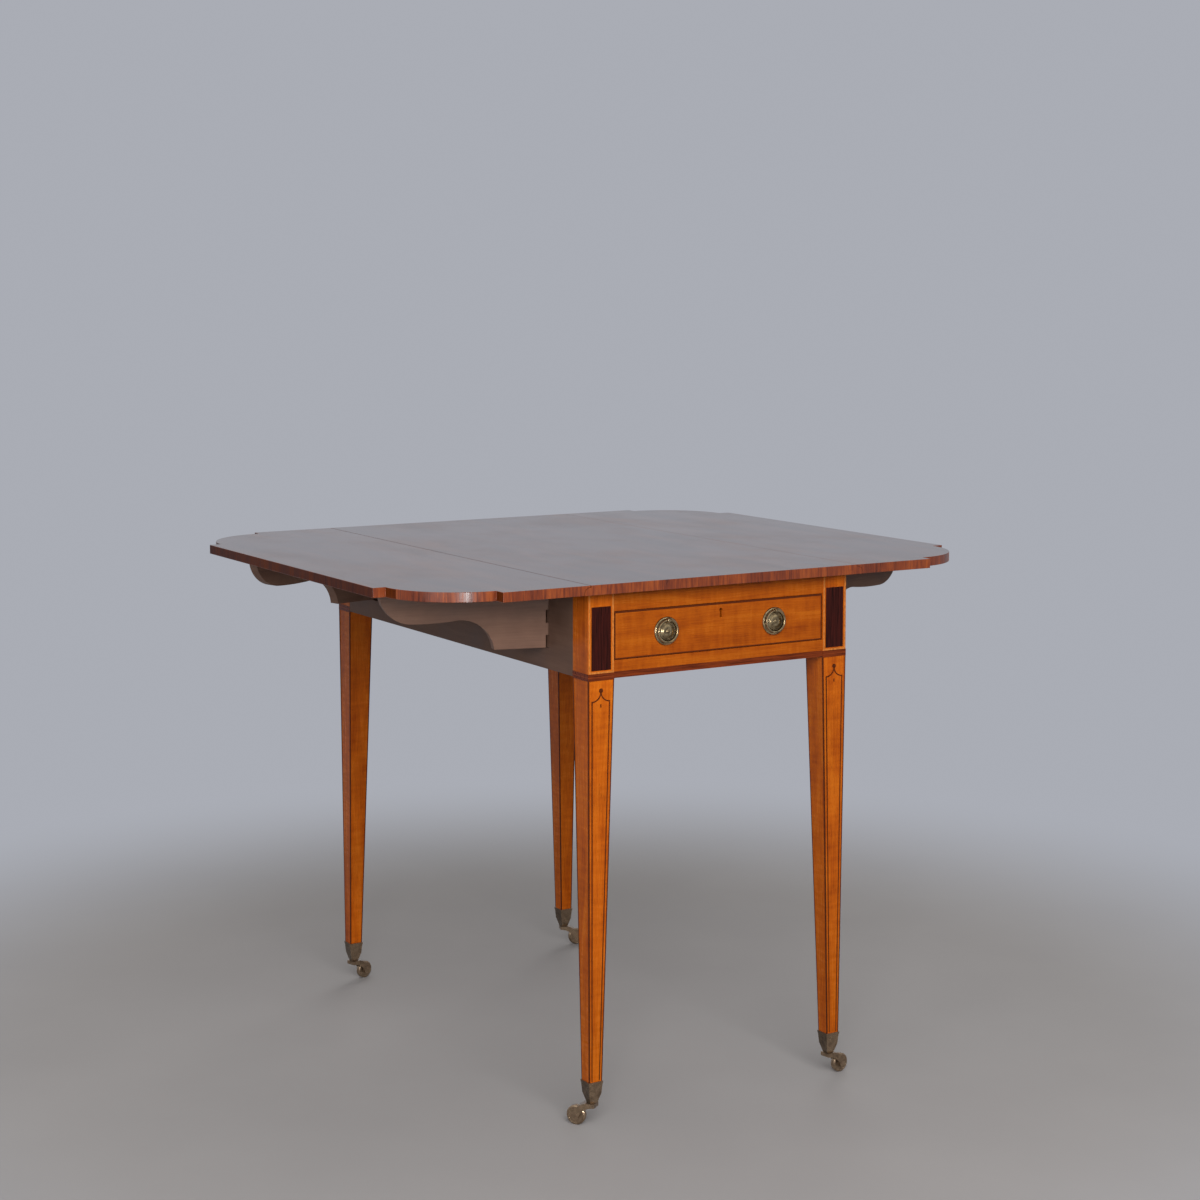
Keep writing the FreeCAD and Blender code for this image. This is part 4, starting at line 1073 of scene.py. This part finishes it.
class PEMBROKE_OT_stage(bpy.types.Operator):
    """Pale floor, soft light and the photograph's camera"""

    bl_idname = "pembroke.stage"
    bl_label = "Studio"
    key_power: power("Key light", "Power of the large lamp in front", 114)
    fill_power: power("Fill light", "Power of the lamp at the side", 22)
    back_power: power("Back light", "Power of the lamp behind", 30)
    glint_power: power("Glint light", "Power of the small lamp that only polish and brass reflect", 24)

    def execute(self, context):
        context.scene.view_settings.view_transform = "Standard"
        self.floor()
        self.surround(context.scene)
        key = self.lamp("key_lamp", *KEY_LAMP, self.key_power)
        back = self.lamp("back_lamp", *BACK_LAMP, self.back_power)
        # These two would glare on the polished top. The glint lamp lies below the top's level.
        for broad in (key, back):
            broad.visible_glossy = False
        self.lamp("fill_lamp", *FILL_LAMP, self.fill_power)
        glint = self.lamp("glint_lamp", *GLINT_LAMP, self.glint_power)
        glint.visible_diffuse = False
        self.camera(context.scene)
        return {"FINISHED"}

    def floor(self):
        """A wide disc under the wheels."""
        shape = bmesh.new()
        bmesh.ops.create_circle(shape, cap_ends=True, segments=FLOOR_SIDES, radius=FLOOR_RADIUS)
        mesh = bpy.data.meshes.new("floor")
        shape.to_mesh(mesh)
        shape.free()
        mesh.materials.append(finish_of(stage_floor))
        made = bpy.data.objects.new("floor", mesh)
        bpy.context.scene.collection.objects.link(made)

    def surround(self, scene):
        """Even light that is dimmest at eye level and brightest above."""
        tint = chosen("colours")
        scene.world = bpy.data.worlds.new("studio")
        make = Nodes(scene.world)
        up = make.node("ShaderNodeSeparateXYZ", {"Vector": make.place["Generated"]}).outputs["Z"]
        tone = make.ramp(up, *zip(SURROUND_STOPS, (tint.backdrop, tint.ceiling)))
        tone.node.color_ramp.interpolation = "EASE"
        light = make.node("ShaderNodeBackground", {
            "Color": tone, "Strength": make.seen_share(tint.bounce)})
        make.node("ShaderNodeOutputWorld", {"Surface": light.outputs["Background"]})

    def lamp(self, name, place, size, watts):
        """A square soft lamp aimed at the table."""
        data = bpy.data.lights.new(name, "AREA")
        data.energy = watts
        data.size = size
        made = bpy.data.objects.new(name, data)
        made.location = place
        aim = Vector((0, 0, AIM_LEVEL)) - Vector(place)
        made.rotation_euler = aim.to_track_quat("-Z", "Y").to_euler()
        bpy.context.scene.collection.objects.link(made)
        return made

    def camera(self, scene):
        """The camera of the photograph."""
        data = bpy.data.cameras.new("camera")
        data.lens = CAMERA_LENS
        data.sensor_width = SENSOR_WIDTH
        data.shift_x, data.shift_y = CAMERA_SHIFT
        made = bpy.data.objects.new("camera", data)
        made.location = CAMERA_PLACE
        made.rotation_euler = (math.radians(90 + CAMERA_PITCH), 0, math.radians(CAMERA_YAW))
        scene.collection.objects.link(made)
        scene.camera = made


OPERATORS = (
    PEMBROKE_OT_top,
    PEMBROKE_OT_frame,
    PEMBROKE_OT_sides,
    PEMBROKE_OT_inlay,
    PEMBROKE_OT_drawer,
    PEMBROKE_OT_pulls,
    PEMBROKE_OT_hinges,
    PEMBROKE_OT_casters,
    PEMBROKE_OT_stage,
)
GROUPS = {
    "pembroke_colours": PembrokeColours,
    "pembroke_inlay": PembrokeInlay,
    "pembroke_brass": PembrokeBrass,
}


class PEMBROKE_PT_panel(bpy.types.Panel):
    """Lists the table's pieces"""

    bl_idname = "PEMBROKE_PT_panel"
    bl_label = "Pembroke table"
    bl_space_type = "VIEW_3D"
    bl_region_type = "UI"
    bl_category = "Pembroke"

    def draw(self, context):
        for operator in OPERATORS:
            self.layout.operator(operator.bl_idname)
        for name, group in GROUPS.items():
            box = self.layout.box()
            for key in group.__annotations__:
                box.prop(getattr(context.scene, name), key)


def register():
    """Registers the classes and hangs the settings on the scene."""
    for group in GROUPS.values():
        bpy.utils.register_class(group)
    for kind in (*OPERATORS, PEMBROKE_PT_panel):
        bpy.utils.register_class(kind)
    for name, group in GROUPS.items():
        setattr(bpy.types.Scene, name, bpy.props.PointerProperty(type=group))


def unregister():
    """Takes the settings and classes away again."""
    for name in GROUPS:
        delattr(bpy.types.Scene, name)
    for kind in reversed((*GROUPS.values(), *OPERATORS, PEMBROKE_PT_panel)):
        bpy.utils.unregister_class(kind)


def main():
    """Dresses the table piece by piece."""
    register()
    bpy.ops.pembroke.top()
    bpy.ops.pembroke.frame()
    bpy.ops.pembroke.sides()
    bpy.ops.pembroke.inlay()
    bpy.ops.pembroke.drawer()
    bpy.ops.pembroke.pulls()
    bpy.ops.pembroke.hinges()
    bpy.ops.pembroke.casters()
    bpy.ops.pembroke.stage()


if __name__ == "__main__":
    main()
